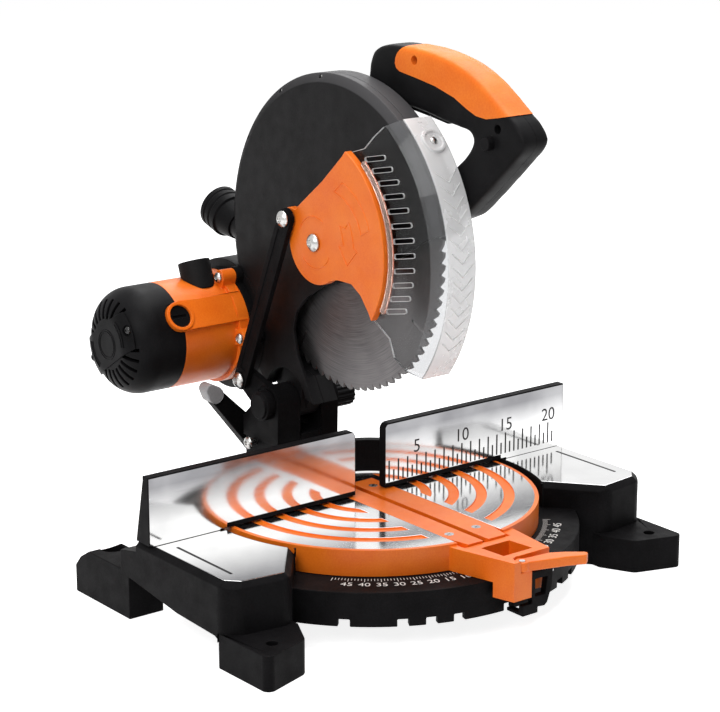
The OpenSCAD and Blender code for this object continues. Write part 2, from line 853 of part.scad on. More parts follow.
// All the small pan-head screws of the head: guard cover, belt cover, end cap and handle
module case_screws() {
  head_d = 7;
  head_h = 2.8;
  shank_d = 4;
  place() color(steel) {
    mirror([1, 0, 0]) {
      for (p = cover_screw_at) pan_screw_x(p, -guard_half, head_d, head_h, shank_d, 22);
      for (p = belt_screw_at()) pan_screw_x(p, -belt_cover_x[0] - 6, head_d, head_h, shank_d, 14);
      for (p = root_screw_at) pan_screw_x(p, -handle_x - handle_w + 3, head_d, head_h, shank_d, 22);
    }
    for (p = handle_screw_at) pan_screw_x(p, handle_x + screw_sunk, head_d, head_h, shank_d, 20);
    for (p = end_screw_at()) pan_screw_x(p, cap_x + 3, head_d, head_h, shank_d, 12);
  }
}

module guard_pivot_bolt() {
  place() color(steel) pan_screw_x(arbor, plate_x[0] - gap, 15, 5.5, pivot_d, plate_x[1] - plate_x[0] + 2 * gap + 8);
}

// Belt drive on the right of the head
module belt_cover() {
  wall = 2.6;
  place() color(black) difference() {
    union() {
      bar_x(belt_cover_x[0], belt_cover_x[1], arbor, motor, 36, 30);
      for (p = belt_screw_at()) rod_x(p, 12, belt_cover_x[0], belt_cover_x[0] + 6);
    }
    bar_x(belt_cover_x[0] - cut, belt_cover_x[1] - wall, arbor, motor, 36 - wall, 30 - wall);
    for (p = belt_screw_at()) rod_x(p, 4, 0, 60);
  }
}

function belt_screw_at() = [
  on_circle(arbor, 41, 60), on_circle(arbor, 41, 190), on_circle(motor, 35, 55), on_circle(motor, 35, 240)
];

module drive_belt() {
  place() color([0.12, 0.12, 0.12]) difference() {
    bar_x(belt_x[0], belt_x[1], arbor, motor, big_pulley + gap + belt_t, small_pulley + gap + belt_t);
    bar_x(belt_x[0] - cut, belt_x[1] + cut, arbor, motor, big_pulley + gap, small_pulley + gap);
  }
}

module driven_pulley() {
  place() color(steel) difference() {
    union() {
      rod_x(arbor, 2 * big_pulley, belt_x[0], belt_x[1]);
    }
    rod_x(arbor, 17, 0, 60);
  }
}

module drive_pulley() {
  place() color(steel) difference() {
    rod_x(motor, 2 * small_pulley, belt_x[0], belt_x[1]);
    rod_x(motor, shaft_d, 0, 60);
  }
}

module spindle() {
  place() color(steel) difference() {
    union() {
      rod_x(arbor, 17, blade_t / 2 + 4, belt_x[1] + 2);
      rod_x(arbor, 20 - 2 * fit - 0.6, blade_t / 2 + 4, cavity_half - 1 - gap);
      rod_x(arbor, 14, -blade_t / 2 - 3, blade_t / 2 + 5);
    }
    rod_x(arbor, 7, -20, 14);
  }
}

module inner_flange() {
  place() color(steel) difference() {
    union() {
      rod_x(arbor, 54, blade_t / 2, blade_t / 2 + 4);
      rod_x(arbor, blade_bore, -blade_t / 2 + 0.2, blade_t / 2 + 1);
    }
    rod_x(arbor, 14, -20, 20);
  }
}

module outer_flange() {
  place() color(steel) difference() {
    rod_x(arbor, 54, -blade_t / 2 - 3, -blade_t / 2);
    rod_x(arbor, 14, -20, 20);
  }
}

module blade_bolt() {
  place() color(steel) {
    rod_x(arbor, 7, -blade_t / 2 - 4, 13);
    translate([-blade_t / 2 - 7.5, arbor[0], arbor[1]]) rotate([0, 90, 0]) cylinder(d = 19, h = 4.5, $fn = 6);
  }
}

module blade() {
  pitch = 360 / teeth;
  gullet = blade_r - 5;
  place() color(steel) along_x(-blade_t / 2, blade_t / 2) translate(arbor) difference() {
    polygon([
      for (i = [0:teeth - 1], k = [0:2])
        (k == 0 ? gullet : k == 1 ? blade_r : blade_r - 0.8)
        * [cos((i + [0, 0.1, 0.45][k]) * pitch), sin((i + [0, 0.1, 0.45][k]) * pitch)]
    ]);
    circle(d = blade_bore);
    for (a = [30:90:300]) rotate(a) translate([blade_r - 24, -1]) square([30, 2]);
  }
}

// Motor on the left of the head
module lugs(r, x0, x1) {
  for (a = lug_turns) bar_x(x0, x1, motor, on_circle(motor, lug_r, a), r + 4, r);
}

module motor_adapter() {
  place() color(black) difference() {
    union() {
      rod_x(motor, 2 * (motor_r + 4), adapter_x[0], adapter_x[1]);
      lugs(7.5, adapter_x[0], adapter_x[1]);
    }
    rod_x(motor, 60, adapter_x[0] - cut, adapter_x[1] + cut);
    for (a = lug_turns) rod_x(on_circle(motor, lug_r, a), 5, adapter_x[0] - cut, adapter_x[1] + cut);
  }
}

module brush_bosses(d, r0, r1) {
  for (turn = [brush_turn, brush_turn + 180]) {
    translate([brush_x, motor[0], motor[1]]) rotate([turn, 0, 0]) translate([0, r0, 0]) rotate([-90, 0, 0])
      cylinder(d = d, h = r1 - r0);
  }
}

module motor_housing() {
  inner = motor_r - motor_wall;
  flange_x = adapter_x[0] - lug_len;
  place() color(orange) difference() {
    union() {
      rod_x(motor, 2 * motor_r, housing_x, adapter_x[0]);
      rod_x(motor, 2 * (motor_r + 3), adapter_x[0] - 11, adapter_x[0]);
      lugs(6.5, flange_x, adapter_x[0]);
      brush_bosses(brush_d + 6, inner - 4, motor_r + 3);
      for (turn = [brush_turn, brush_turn + 180]) translate([0, motor[0], motor[1]]) rotate([turn, 0, 0])
        translate([brush_x, inner - 4, -13]) cube([adapter_x[0] - 2 - brush_x, motor_r + 5.6 - inner, 26]);
    }
    rod_x(motor, 2 * inner, housing_x - 40, adapter_x[0] - 4);
    rod_x(motor, 40, housing_x, adapter_x[0] + cut);
    brush_bosses(brush_d, inner - 6, motor_r + 20);
    for (a = lug_turns) rod_x(on_circle(motor, lug_r, a), 5, flange_x - cut, adapter_x[0] + cut);
  }
}

module cap_profile(shrink) {
  r = motor_r - shrink;
  end = cap_len - shrink;
  round_r = 26;
  intersection() {
    square([r, end]);
    union() {
      square([r, end - round_r]);
      square([r - round_r, end]);
      translate([r - round_r, end - round_r]) circle(round_r);
    }
  }
}

module cap_solid(shrink) {
  translate([housing_x, motor[0], motor[1]]) rotate([0, -90, 0]) rotate_extrude() cap_profile(shrink);
}

module motor_end_cap() {
  wall = 3;
  bar_half = 17;
  place() color(black) difference() {
    union() {
      difference() {
        cap_solid(0);
        cap_solid(wall);
        for (a = [-60:15:60], s = [0, 180]) translate([cap_x - cut, motor[0], motor[1]])
          rotate([brush_turn + 90 + s + a, 0, 0]) translate([0, 22, -1.5]) cube([14, 16, 3]);
      }
      intersection() {
        cap_solid(-1.2);
        translate([cap_x - 5, motor[0], motor[1]]) rotate([brush_turn, 0, 0])
          translate([0, -motor_r, -bar_half]) cube([9, 2 * motor_r, 2 * bar_half]);
      }
    }
    brush_bosses(brush_d + 6 + 2 * gap, 20, motor_r + 20);
    rod_x(motor, 26, cap_x + 5, housing_x);
    for (p = end_screw_at()) rod_x(p, 4, cap_x - 20, housing_x);
    for (p = end_screw_at()) rod_x(p, 8.6, cap_x - 20, cap_x + 3);
    translate([housing_x, 0, 0]) cube([100, 400, 400]);
  }
}

function end_screw_at() = [on_circle(motor, 33, brush_turn), on_circle(motor, 33, brush_turn + 180)];

module motor_screws() {
  place() color(steel) for (a = lug_turns)
    pan_screw_x(on_circle(motor, lug_r, a), adapter_x[0] - lug_len, 9, 4, 5, lug_len + 7 + 12);
}

module brush_caps() {
  place() color(black) difference() {
    brush_bosses(brush_d, motor_r - 3, motor_r + 1);
    for (turn = [brush_turn, brush_turn + 180]) translate([brush_x, motor[0], motor[1]]) rotate([turn, 0, 0])
      translate([-7, motor_r - 0.5, -1.2]) cube([14, 6, 2.4]);
  }
}

module carbon_brushes() {
  place() color([0.2, 0.2, 0.2]) for (turn = [brush_turn, brush_turn + 180])
    translate([brush_x, motor[0], motor[1]]) rotate([turn, 0, 0])
      translate([-4, 14.3, -3]) cube([8, motor_r - 3 - 14.3, 6]);
}

module stator() {
  place() color([0.45, 0.3, 0.2]) difference() {
    rod_x(motor, 2 * (motor_r - motor_wall), housing_x + 10, adapter_x[0] - 14);
    rod_x(motor, 56, housing_x, adapter_x[0]);
  }
}

module armature() {
  place() color(steel) {
    rod_x(motor, shaft_d, cap_x + 6, belt_x[1] + 3);
    rod_x(motor, 54, housing_x + 12, adapter_x[0] - 16);
    rod_x(motor, 28, brush_x - 6, brush_x + 7);
  }
}

module cooling_fan() {
  place() color([0.2, 0.2, 0.22]) difference() {
    union() {
      rod_x(motor, 22, adapter_x[0] - 13, adapter_x[0] - 5);
      for (a = [0:30:330]) translate([adapter_x[0] - 13, motor[0], motor[1]]) rotate([a, 0, 0])
        translate([0, 8, -1]) cube([7.5, 28, 2]);
    }
    rod_x(motor, shaft_d, -100, 0);
  }
}

module bearings() {
  place() color(steel) {
    difference() {
      rod_x(arbor, 32, cavity_half - 1, boss_x - 2);
      rod_x(arbor, 17 + 2 * fit, 0, 40);
    }
    difference() {
      rod_x(motor, 26, 4, boss_x - 2);
      rod_x(motor, shaft_d + 2 * fit, 0, 40);
    }
    difference() {
      rod_x(motor, 26, cap_x + 5, cap_x + 13);
      rod_x(motor, shaft_d + 2 * fit, cap_x, 0);
    }
  }
}

// Round inlet for the mains lead, behind the motor flange
module cord_gland() {
  lean = 20;
  foot_y = -7;
  foot_z = sqrt(pow(motor_r, 2) - pow(foot_y, 2));
  place() color(black) difference() {
    translate([-46.5, motor_y + foot_y, motor_z + foot_z]) rotate([-lean, 0, 0]) difference() {
      translate([0, 0, -10]) cylinder(d = 28, h = 26);
      cylinder(d = 10, h = 30);
    }
    rod_x(motor, 2 * motor_r, -100, 20);
  }
}

module dust_port() {
  len = port_len;
  collar = len - 21;
  place() color(black) at_port() rotate([-90, 0, 0]) rotate_extrude() polygon([
    [9, 0], [14, 0], [port_r - 2, collar], [port_r, collar + 1], [port_r, collar + 7], [port_r - 1, collar + 7.8],
    [port_r - 1, collar + 9], [port_r, collar + 9.8], [port_r, collar + 14], [port_r - 1, collar + 14.8],
    [port_r - 1, collar + 16], [port_r, collar + 16.8], [port_r, len], [port_bore, len], [port_bore, len - 20]
  ]);
}

// Handle
module handle_outline() {
  difference() {
    polygon([
      [20, 372], [23.5, 398], [23.5, 412], [21.5, 426], [17, 435.5], [9, 440.5], [-6, 443.8], [-24.5, 443.6],
      [-41, 443.2], [-56, 442], [-71, 439.6], [-86.5, 436.2], [-102, 430.8], [-117, 423.6], [-132, 413.8],
      [-146, 404], [-156, 398], [-163.5, 390.5], [-166.5, 385], [-165.5, 379.5], [-161, 374], [-146.3, 360.3],
      [-125, 340.4], [-103.2, 321.1], [-96, 315.5], [-82.5, 310], [-62, 306], [-44, 320], [-81.5, 352.5],
      [-95.5, 363.5], [-102.5, 371], [-106.5, 378], [-105, 382.5], [-100, 384.3], [-86, 385.8], [-70.6, 388],
      [-55, 391], [-31.6, 394.2], [-18.8, 394.7], [-6, 391], [2, 384], [4, 372]
    ]);
    for (p = handle_screw_at) disc(p, 2);
    for (p = root_screw_at) disc(p, 2);
  }
}

handle_screw_at = [[-37.7, 433], [-136.5, 391]];
screw_sunk = 8;          // depth of the handle screws' seats
root_screw_at = [[10, 404], [-78, 326]];

// The soft grip's share of the handle
module grip_outline() {
  polygon([
    [-36, 453], [-26.5, 443.9], [-20.5, 440.6], [-16.4, 436.6], [-14.2, 432.6], [-13.6, 428.2], [-15.4, 424.6],
    [-19.5, 422.4], [-40, 419.4], [-63, 415.5], [-86, 409.2], [-101, 402.2], [-112, 398.1], [-123.5, 397.1], [-138, 399.8], [-152, 403], [-170, 440],
    [-100, 470]
  ]);
}

module trigger_outline() {
  front = trigger_pivot[0] - trigger_len;
  polygon([
    trigger_pivot + [5, 4], trigger_pivot + [5, -6], [-26, 391.5], [-50, 388.5], [front + 4, 385.5],
    [front, 388], [front, 391.5], [front + 6, 394], [-50, 399], [-28, 403]
  ]);
}

module trigger_pocket() {
  front = trigger_pivot[0] - trigger_len - 2;
  along_x(handle_mid - trigger_w / 2 - 0.5, handle_mid + trigger_w / 2 + 0.5) polygon([
    trigger_pivot + [8, 8], trigger_pivot + [8, -20], [front, 370], [front, 404], [-50, 411], [-28, 412]
  ]);
}

module handle_inside() {
  trigger_pocket();
  translate([handle_mid - 9, -62, 405]) cube([18, 34, 22]);
  rod_x(lock_at, 10.6, handle_x - 10, handle_mid + 6);
}

lock_at = [-128, 379];

module handle_left() {
  place() color(black) difference() {
    along_x(handle_x, handle_mid - 0.05) difference() {
      handle_outline();
      grip_outline();
    }
    handle_inside();
    rod_x(handle_screw_at[1], 7.4, handle_x - 10, handle_x + screw_sunk);
  }
  place() color(black) rod_x(trigger_pivot, trigger_pin_d, handle_x + 1, handle_x + handle_w / 2 + trigger_w / 2 + 0.4);
}

module handle_right() {
  place() color(black) difference() {
    along_x(handle_mid + 0.05, handle_x + handle_w) difference() {
      handle_outline();
      grip_outline();
    }
    handle_inside();
    for (p = root_screw_at) rod_x(p, 7.4, handle_x + handle_w - 3, 100);
  }
}

module grip_cover() {
  place() color(orange) difference() {
    along_x(handle_x, handle_x + handle_w) intersection() {
      handle_outline();
      grip_outline();
    }
    handle_inside();
    rod_x(handle_screw_at[0], 7.4, handle_x - 10, handle_x + screw_sunk);
  }
}

module switch_body() {
  place() color([0.25, 0.25, 0.27]) translate([handle_mid - 8.7, -61.5, 411.5]) cube([17.4, 33, 15.2]);
}

module trigger() {
  place() color(black) difference() {
    along_x(handle_mid - trigger_w / 2, handle_mid + trigger_w / 2) trigger_outline();
    rod_x(trigger_pivot, trigger_pin_d + 2 * fit, 0, 80);
  }
}

module lock_off_button() {
  place() color(black) rod_x(lock_at, 10, handle_x - 5, handle_mid);
}

// Swinging guard
module guard_plate_outline() {
  difference() {
    union() {
      disc(arbor, 35);
      bar(arbor, link_top, 20, 9);
      intersection() {
        disc(arbor, shield_inner + 6);
        polygon([
          arbor + [25, 25], arbor + [-10, 52], arbor + [-36, 75.5], arbor + [-50, 92], arbor + [-90, 92], arbor + [-120, 0], arbor + [-100, -90],
          arbor + [-77, -57], arbor + [-70, -45], arbor + [-60, -33], arbor + [-48, -26], arbor + [-30, -26],
          arbor + [0, -34]
        ]);
      }
    }
  }
}

module guard_side_plate() {
  place() color(orange) difference() {
    union() {
      along_x(plate_x[0], plate_x[1]) guard_plate_outline();
      rod_x(arbor, 28, plate_x[0], plate_x[1]);
    }
    rod_x(arbor, pivot_d + 2 * fit, -60, 0);
    rod_x(link_top, link_bolt_d, plate_x[0] - cut, plate_x[1] + cut);
    for (p = shield_screw_at()) rod_x(p, 3.6, plate_x[0] + 2, plate_x[1] + cut);
  }
}

module link_upper_bolt() {
  place() color(steel) pan_screw_x(link_top, link_x - gap, 14, 5, link_bolt_d, plate_x[1] - link_x + gap);
}

module guard_screws() {
  place() color(steel) mirror([1, 0, 0])
    for (p = shield_screw_at()) pan_screw_x(p, -shield_x[0] - shield_t, 6.5, 1.8, 3.6, 5.5);
}

function shield_screw_at() = [for (a = [130, 160, 190, 212]) on_circle(arbor, shield_inner + 2, a)];

// Cross-section of the shield, as [radius, x]
module shield_section() {
  t = shield_t;
  w = shield_r - 12;
  polygon([
    [shield_inner - 6, shield_x[0]], [w, shield_x[0]], [shield_r, shield_x[1]], [shield_r, shield_x[2]],
    [shield_r - t, shield_x[2]], [shield_r - t, shield_x[1] + 1], [w - t / 2, shield_x[0] + t],
    [shield_inner - 6, shield_x[0] + t]
  ]);
}

module shield_ends() {
  polygon([
    arbor + [-30, 76], arbor + [-56, 84], arbor + [-68, 95], arbor + [-80, 104], arbor + [-96, 112],
    arbor + [-200, 150], arbor + [-300, 0], arbor + [-200, -150], arbor + [-120, -92], arbor + [-94, -78],
    arbor + [-88, -64], arbor + [-64, -50], arbor + [0, 0]
  ]);
}

module clear_guard() {
  slot_len = 21;
  slot_r = 1.8;
  place() color([0.9, 0.92, 0.95, 0.4]) difference() {
    intersection() {
      translate([0, shield_mid[0], shield_mid[1]]) rotate([90, 0, 90]) rotate(90)
        rotate_extrude(angle = 160) shield_section();
      along_x(-60, 60) shield_ends();
    }
    for (i = [0:shield_slots - 1]) {
      a = 128 + i * 78 / (shield_slots - 1);
      p = on_circle(arbor, 96, a);
      bar_x(shield_x[0] - cut, shield_x[0] + shield_t + cut, p, p + [-slot_len, slot_len * tan(11.5)], slot_r, slot_r);
    }
    for (p = shield_screw_at()) rod_x(p, 3.6, plate_x[0], 0);
  }
}

module guard_link() {
  groove = 0.9;
  place() color(black) difference() {
    bar_x(link_x, link_x + link_t, link_foot, link_top, 8.5, 8.5);
    difference() {
      bar_x(link_x - cut, link_x + groove, link_foot, link_top, 3.4, 3.4);
      rod_x(link_foot, 24, -60, 0);
      rod_x(link_top, 24, -60, 0);
    }
    rod_x(link_foot, link_bolt_d + 2 * fit, -60, 0);
    rod_x(link_top, link_bolt_d + 4 * gap, -60, 0);
  }
}

base_casting();
fence();
fence_bolts();
centre_bolt();
turntable();
insert_left();
insert_right();
insert_screws();
mitre_pointer();
mitre_lock_lever();
lever_pin();
detent_latch();
latch_pin();
bevel_bolt();
tilt_bracket();
hinge_shaft();
hinge_cap();
bevel_stop_screws();
return_spring();
link_lower_bolt();
bevel_lock_lever();
bevel_lever_tip();
hold_down_pin();
hold_down_knob();
arm_casting();
guard_cover();
case_screws();
guard_pivot_bolt();
belt_cover();
drive_belt();
motor_adapter();
motor_housing();
motor_end_cap();
motor_screws();
brush_caps();
carbon_brushes();
stator();
bearings();
cord_gland();
dust_port();
handle_left();
handle_right();
grip_cover();
switch_body();
trigger();
lock_off_button();
spindle();
inner_flange();
outer_flange();
blade();
blade_bolt();
driven_pulley();
armature();
cooling_fan();
drive_pulley();
guard_side_plate();
clear_guard();
guard_screws();
link_upper_bolt();
guard_link();
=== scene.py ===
import bpy, bmesh, json, math
from mathutils import Matrix, Vector


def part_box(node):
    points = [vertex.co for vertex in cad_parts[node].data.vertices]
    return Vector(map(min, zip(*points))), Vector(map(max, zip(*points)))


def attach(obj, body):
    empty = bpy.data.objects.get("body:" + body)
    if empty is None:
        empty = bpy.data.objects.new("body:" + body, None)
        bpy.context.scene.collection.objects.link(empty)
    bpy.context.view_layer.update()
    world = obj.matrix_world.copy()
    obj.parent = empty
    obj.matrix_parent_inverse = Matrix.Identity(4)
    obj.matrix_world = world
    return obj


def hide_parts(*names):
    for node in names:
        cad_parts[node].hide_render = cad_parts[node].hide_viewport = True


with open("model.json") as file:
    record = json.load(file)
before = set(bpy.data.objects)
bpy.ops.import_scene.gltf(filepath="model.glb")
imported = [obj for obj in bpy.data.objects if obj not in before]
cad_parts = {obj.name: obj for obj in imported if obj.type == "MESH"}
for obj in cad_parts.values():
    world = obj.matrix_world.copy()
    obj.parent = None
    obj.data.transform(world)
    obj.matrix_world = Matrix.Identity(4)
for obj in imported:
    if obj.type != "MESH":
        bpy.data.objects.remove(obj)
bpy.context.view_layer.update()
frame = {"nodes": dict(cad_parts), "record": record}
nodes = frame["nodes"]
record = frame["record"]
bodyOf = {name: body for body, names in record["behaviour"]["bodies"].items() for name in names}
scene = bpy.context.scene

mm = 0.001
fenceY = 20.7            # the fence's face, in mm behind the bench bolts' middle
arbor = (34.4, 281.0)    # the blade's axis: mm behind the fence's face, mm above the bench


def at(x, y, z):
    return Vector((x, y + fenceY, z)) * mm


# camera at the photograph's angle
cameraView = {
    "place": (-1083.2, -1349.7, 657.9),
    "right": (0.7868, -0.6172, 0.0),
    "up": (0.1573, 0.2005, 0.9670),
    "back": (-0.5968, -0.7608, 0.2548),
    "lens": 110.375, "sensor": 36.0, "shift": (-0.00368, -0.01603), "clip": (0.05, 50),
}


def addCamera(view):
    lensData = bpy.data.cameras.new("photoCamera")
    lensData.lens, lensData.sensor_width = view["lens"], view["sensor"]
    lensData.shift_x, lensData.shift_y = view["shift"]
    lensData.clip_start, lensData.clip_end = view["clip"]
    cam = bpy.data.objects.new("photoCamera", lensData)
    turn = Matrix((view["right"], view["up"], view["back"])).transposed()
    cam.matrix_world = Matrix.Translation(Vector(view["place"]) * mm) @ turn.to_4x4()
    scene.collection.objects.link(cam)
    scene.camera = cam


addCamera(cameraView)
scene.view_settings.view_transform = "Standard"


# small helpers for shader trees
class Tree:
    mixSockets = {"FLOAT": (2, 3, 0), "VECTOR": (4, 5, 1), "RGBA": (6, 7, 2)}    # first, second, result

    def __init__(self, tree):
        self.tree = tree

    def feed(self, made, key, value):
        socket = made.inputs[key]
        if isinstance(value, bpy.types.NodeSocket):
            self.tree.links.new(value, socket)
        else:
            socket.default_value = value

    def set(self, made, **sockets):
        for key, value in sockets.items():
            self.feed(made, key.replace("_", " "), value)

    def add(self, kind, **sockets):
        made = self.tree.nodes.new(kind)
        self.set(made, **sockets)
        return made

    def math(self, operation, a, b=0.0):
        made = self.tree.nodes.new("ShaderNodeMath")
        made.operation = operation
        self.feed(made, 0, a)
        self.feed(made, 1, b)
        return made.outputs[0]

    def length(self, a, b):
        return self.math("SQRT", self.math("ADD", self.math("MULTIPLY", a, a), self.math("MULTIPLY", b, b)))

    def blend(self, a, b, share):
        return self.math("ADD", self.math("MULTIPLY", a, share), self.math("MULTIPLY", b, 1 - share))

    def mix(self, factor, a, b, kind="RGBA"):
        made = self.tree.nodes.new("ShaderNodeMix")
        made.data_type = kind
        first, second, result = self.mixSockets[kind]
        self.feed(made, 0, factor)
        for index, value in ((first, a), (second, b)):
            self.feed(made, index, (*value, 1.0) if isinstance(value, tuple) else value)
        return made.outputs[result]

    def ramp(self, value, low, high, toLow=0.0, toHigh=1.0):
        made = self.tree.nodes.new("ShaderNodeMapRange")
        made.clamp = True
        for index, item in enumerate((value, low, high, toLow, toHigh)):
            self.feed(made, index, item)
        return made.outputs[0]

    def noise(self, vector, scale, detail=2.0, rough=0.5):
        made = self.add("ShaderNodeTexNoise", Vector=vector, Scale=scale, Detail=detail, Roughness=rough)
        return made.outputs["Fac"]

    def stretch(self, vector, scale):
        return self.add("ShaderNodeMapping", Vector=vector, Scale=scale).outputs[0]

    def bump(self, height, strength, distance):
        return self.add("ShaderNodeBump", Height=height, Strength=strength, Distance=distance).outputs[0]


finishes = {}


def newFinish(name):
    material = finishes[name] = bpy.data.materials.new(name)
    material.use_nodes = True
    t = Tree(material.node_tree)
    shader = next(n for n in material.node_tree.nodes if n.type == "BSDF_PRINCIPLED")
    coords = t.add("ShaderNodeTexCoord").outputs["Object"]
    return t, shader, coords


# moulded or painted finishes: a base colour with soft mottling, a grain and a roughness spread
paintSettings = {
    "castBlack": dict(dark=(0.0035, 0.0033, 0.0036), light=(0.0095, 0.009, 0.0098),
                      grain=1500, depth=0.00012, strength=0.45, rough=(0.42, 0.58), specular=0.035),
    "mouldedBlack": dict(dark=(0.004, 0.004, 0.0043), light=(0.01, 0.0096, 0.0104),
                         grain=2600, depth=0.00006, strength=0.4, rough=(0.36, 0.48), specular=0.05),
    "gearBlack": dict(dark=(0.006, 0.006, 0.006), light=(0.014, 0.0135, 0.014),
                      grain=1900, depth=0.0001, strength=0.4, rough=(0.4, 0.52), specular=0.15),
    "mouldedOrange": dict(dark=(0.86, 0.145, 0.006), light=(0.95, 0.21, 0.014),
                          grain=1700, depth=0.00009, strength=0.35, rough=(0.3, 0.42), specular=0.36),
    "gripOrange": dict(dark=(0.86, 0.16, 0.01), light=(0.95, 0.225, 0.02),
                       grain=1300, depth=0.00012, strength=0.4, rough=(0.45, 0.58), specular=0.3),
    "paleGrey": dict(dark=(0.33, 0.33, 0.34), light=(0.46, 0.46, 0.47),
                     grain=1500, depth=0.00008, strength=0.3, rough=(0.4, 0.52), specular=0.4),
    "rubberBlack": dict(dark=(0.007, 0.007, 0.007), light=(0.014, 0.014, 0.0145),
                        grain=2200, depth=0.0001, strength=0.45, rough=(0.5, 0.62), specular=0.06),
    "pointerRed": dict(dark=(0.42, 0.012, 0.01), light=(0.55, 0.02, 0.014),
                       grain=1500, depth=0.00005, strength=0.3, rough=(0.34, 0.44), specular=0.4),
    "carbonGrey": dict(dark=(0.02, 0.02, 0.021), light=(0.04, 0.04, 0.042),
                       grain=3000, depth=0.00005, strength=0.4, rough=(0.55, 0.68), specular=0.2),
    "printBlack": dict(dark=(0.01, 0.01, 0.011), light=(0.02, 0.02, 0.021),
                       grain=2500, depth=0.00004, strength=0.3, rough=(0.5, 0.6), specular=0.2),
    "printWhite": dict(dark=(0.62, 0.62, 0.6), light=(0.8, 0.8, 0.78),
                       grain=2500, depth=0.00003, strength=0.3, rough=(0.5, 0.62), specular=0.3),
}
mottle = {"blotch": 38, "speck": 0.45, "blotchShare": 0.6, "spread": (0.34, 0.66),
          "cloud": 90, "cloudSpread": (0.3, 0.7), "grainRough": 0.55}


def paintParts(t, coords, s):
    m = mottle
    blotch = t.noise(coords, m["blotch"], 3.0)
    speck = t.noise(coords, s["grain"] * m["speck"])
    shade = t.blend(blotch, speck, m["blotchShare"])
    tone = t.mix(t.ramp(shade, *m["spread"]), s["dark"], s["light"])
    rough = t.ramp(t.noise(coords, m["cloud"], 4.0), *m["cloudSpread"], *s["rough"])
    grain = t.noise(coords, s["grain"], 2.0, m["grainRough"])
    return tone, rough, t.bump(grain, s["strength"], s["depth"])


def paintFinish(name):
    s = paintSettings[name]
    t, shader, coords = newFinish(name)
    tone, rough, normal = paintParts(t, coords, s)
    t.set(shader, Base_Color=tone, Roughness=rough, Normal=normal, Specular_IOR_Level=s["specular"])


for paintName in paintSettings:
    paintFinish(paintName)

# bare metal: lines is the grain's scale along X, Y and Z, so the small number is the brushed way
metalSettings = {
    "zincScrew": dict(dark=(0.4, 0.4, 0.4), light=(0.58, 0.57, 0.55), rough=(0.22, 0.34), lines=(400, 400, 400)),
    "darkScrew": dict(dark=(0.03, 0.03, 0.031), light=(0.075, 0.074, 0.073), rough=(0.2, 0.3), lines=(400, 400, 400)),
    "steelPin": dict(dark=(0.42, 0.42, 0.43), light=(0.6, 0.6, 0.61), rough=(0.24, 0.38), lines=(60, 1800, 1800)),
    "stampedIron": dict(dark=(0.28, 0.2, 0.14), light=(0.42, 0.31, 0.22), rough=(0.35, 0.5), lines=(1600, 80, 80)),
    "turnedAlloy": dict(dark=(0.55, 0.56, 0.57), light=(0.72, 0.72, 0.73), rough=(0.26, 0.4), lines=(2200, 90, 90)),
}
metalGrain = {"cloud": 60, "cloudSpread": (0.35, 0.65), "lineSpread": (0.3, 0.7), "strength": 0.05, "depth": 0.00003}


def metalFinish(name):
    s, g = metalSettings[name], metalGrain
    t, shader, coords = newFinish(name)
    lines = t.noise(t.stretch(coords, s["lines"]), 1.0, 3.0)
    cloud = t.ramp(t.noise(coords, g["cloud"]), *g["cloudSpread"])
    t.set(shader, Base_Color=t.mix(cloud, s["dark"], s["light"]), Metallic=1.0,
          Roughness=t.ramp(lines, *g["lineSpread"], *s["rough"]), Normal=t.bump(lines, g["strength"], g["depth"]))


for metalName in metalSettings:
    metalFinish(metalName)


# masks on Object coordinates: levels and blur in mm
def above(t, value, level, blur=0.03):
    return t.ramp(value, (level - blur) * mm, (level + blur) * mm)


def below(t, value, level, blur=0.03):
    return t.ramp(value, (level - blur) * mm, (level + blur) * mm, 1.0, 0.0)


def aboutX(t, y, z, middle):
    # how far a spot lies from an axis along X, and its two legs
    dy = t.math("SUBTRACT", y, (middle[0] + fenceY) * mm)
    dz = t.math("SUBTRACT", z, middle[1] * mm)
    return dy, dz, t.length(dy, dz)


def fromTableAxis(t, x, y):
    return t.length(x, t.math("SUBTRACT", y, fenceY * mm))


# upper guard: black, with a painted highlight: its rim paler where it faces up and forward
rimHighlight = {"middle": (38.0, 274.5), "from": 134.6, "blur": 0.6, "tone": (0.075, 0.073, 0.076),
               "lean": 0.8, "fade": (30, 170), "specular": 0.11}


def guardFinish(s):
    t, shader, coords = newFinish("guardBlack")
    _, y, z = t.add("ShaderNodeSeparateXYZ", Vector=coords).outputs
    dy, dz, far = aboutX(t, y, z, s["middle"])
    # painted highlight: a paler rim tone that fades in towards the top and front
    upward = t.math("SUBTRACT", dz, t.math("MULTIPLY", dy, s["lean"]))
    lit = t.ramp(upward, *(level * mm for level in s["fade"]))
    rim = t.math("MULTIPLY", above(t, far, s["from"], s["blur"]), lit)
    tone, rough, normal = paintParts(t, coords, paintSettings["castBlack"])
    t.set(shader, Base_Color=t.mix(rim, tone, s["tone"]), Roughness=rough, Normal=normal,
          Specular_IOR_Level=s["specular"])


guardFinish(rimHighlight)


# ground faces of painted castings: bare metal where the mask is 1, paint elsewhere
groundSettings = {
    "dark": (0.82, 0.82, 0.82), "light": (0.92, 0.92, 0.915), "rough": (0.07, 0.15), "roughSpread": (0.35, 0.65),
    "scratch": (30, 2600, 2600), "scratchShare": 0.7, "cloud": 16, "cloudSpread": (0.36, 0.64),
    "strength": 0.06, "depth": 0.00003,
}
wingFace = {"level": 69.85, "outside": 148.2}
landFace = {"level": 69.9, "inside": 136.5}
fenceFace = {
    "front": 0.12, "x": (16.3, 217.2), "top": 125.5,
    "passX": (144.8, 145.2), "foot": (74.8, 70.3),      # the bare face starts higher where the table passes, leaving a taller black band at the foot
    # painted reflection: the bare face darkens towards its top between these heights, each tone pair running from foot
    # to top
    "reflectionFadeZ": (87, 118), "dark": ((0.8, 0.8, 0.8), (0.2, 0.2, 0.21)), "light": ((0.93, 0.93, 0.925), (0.34, 0.34, 0.35)),
}


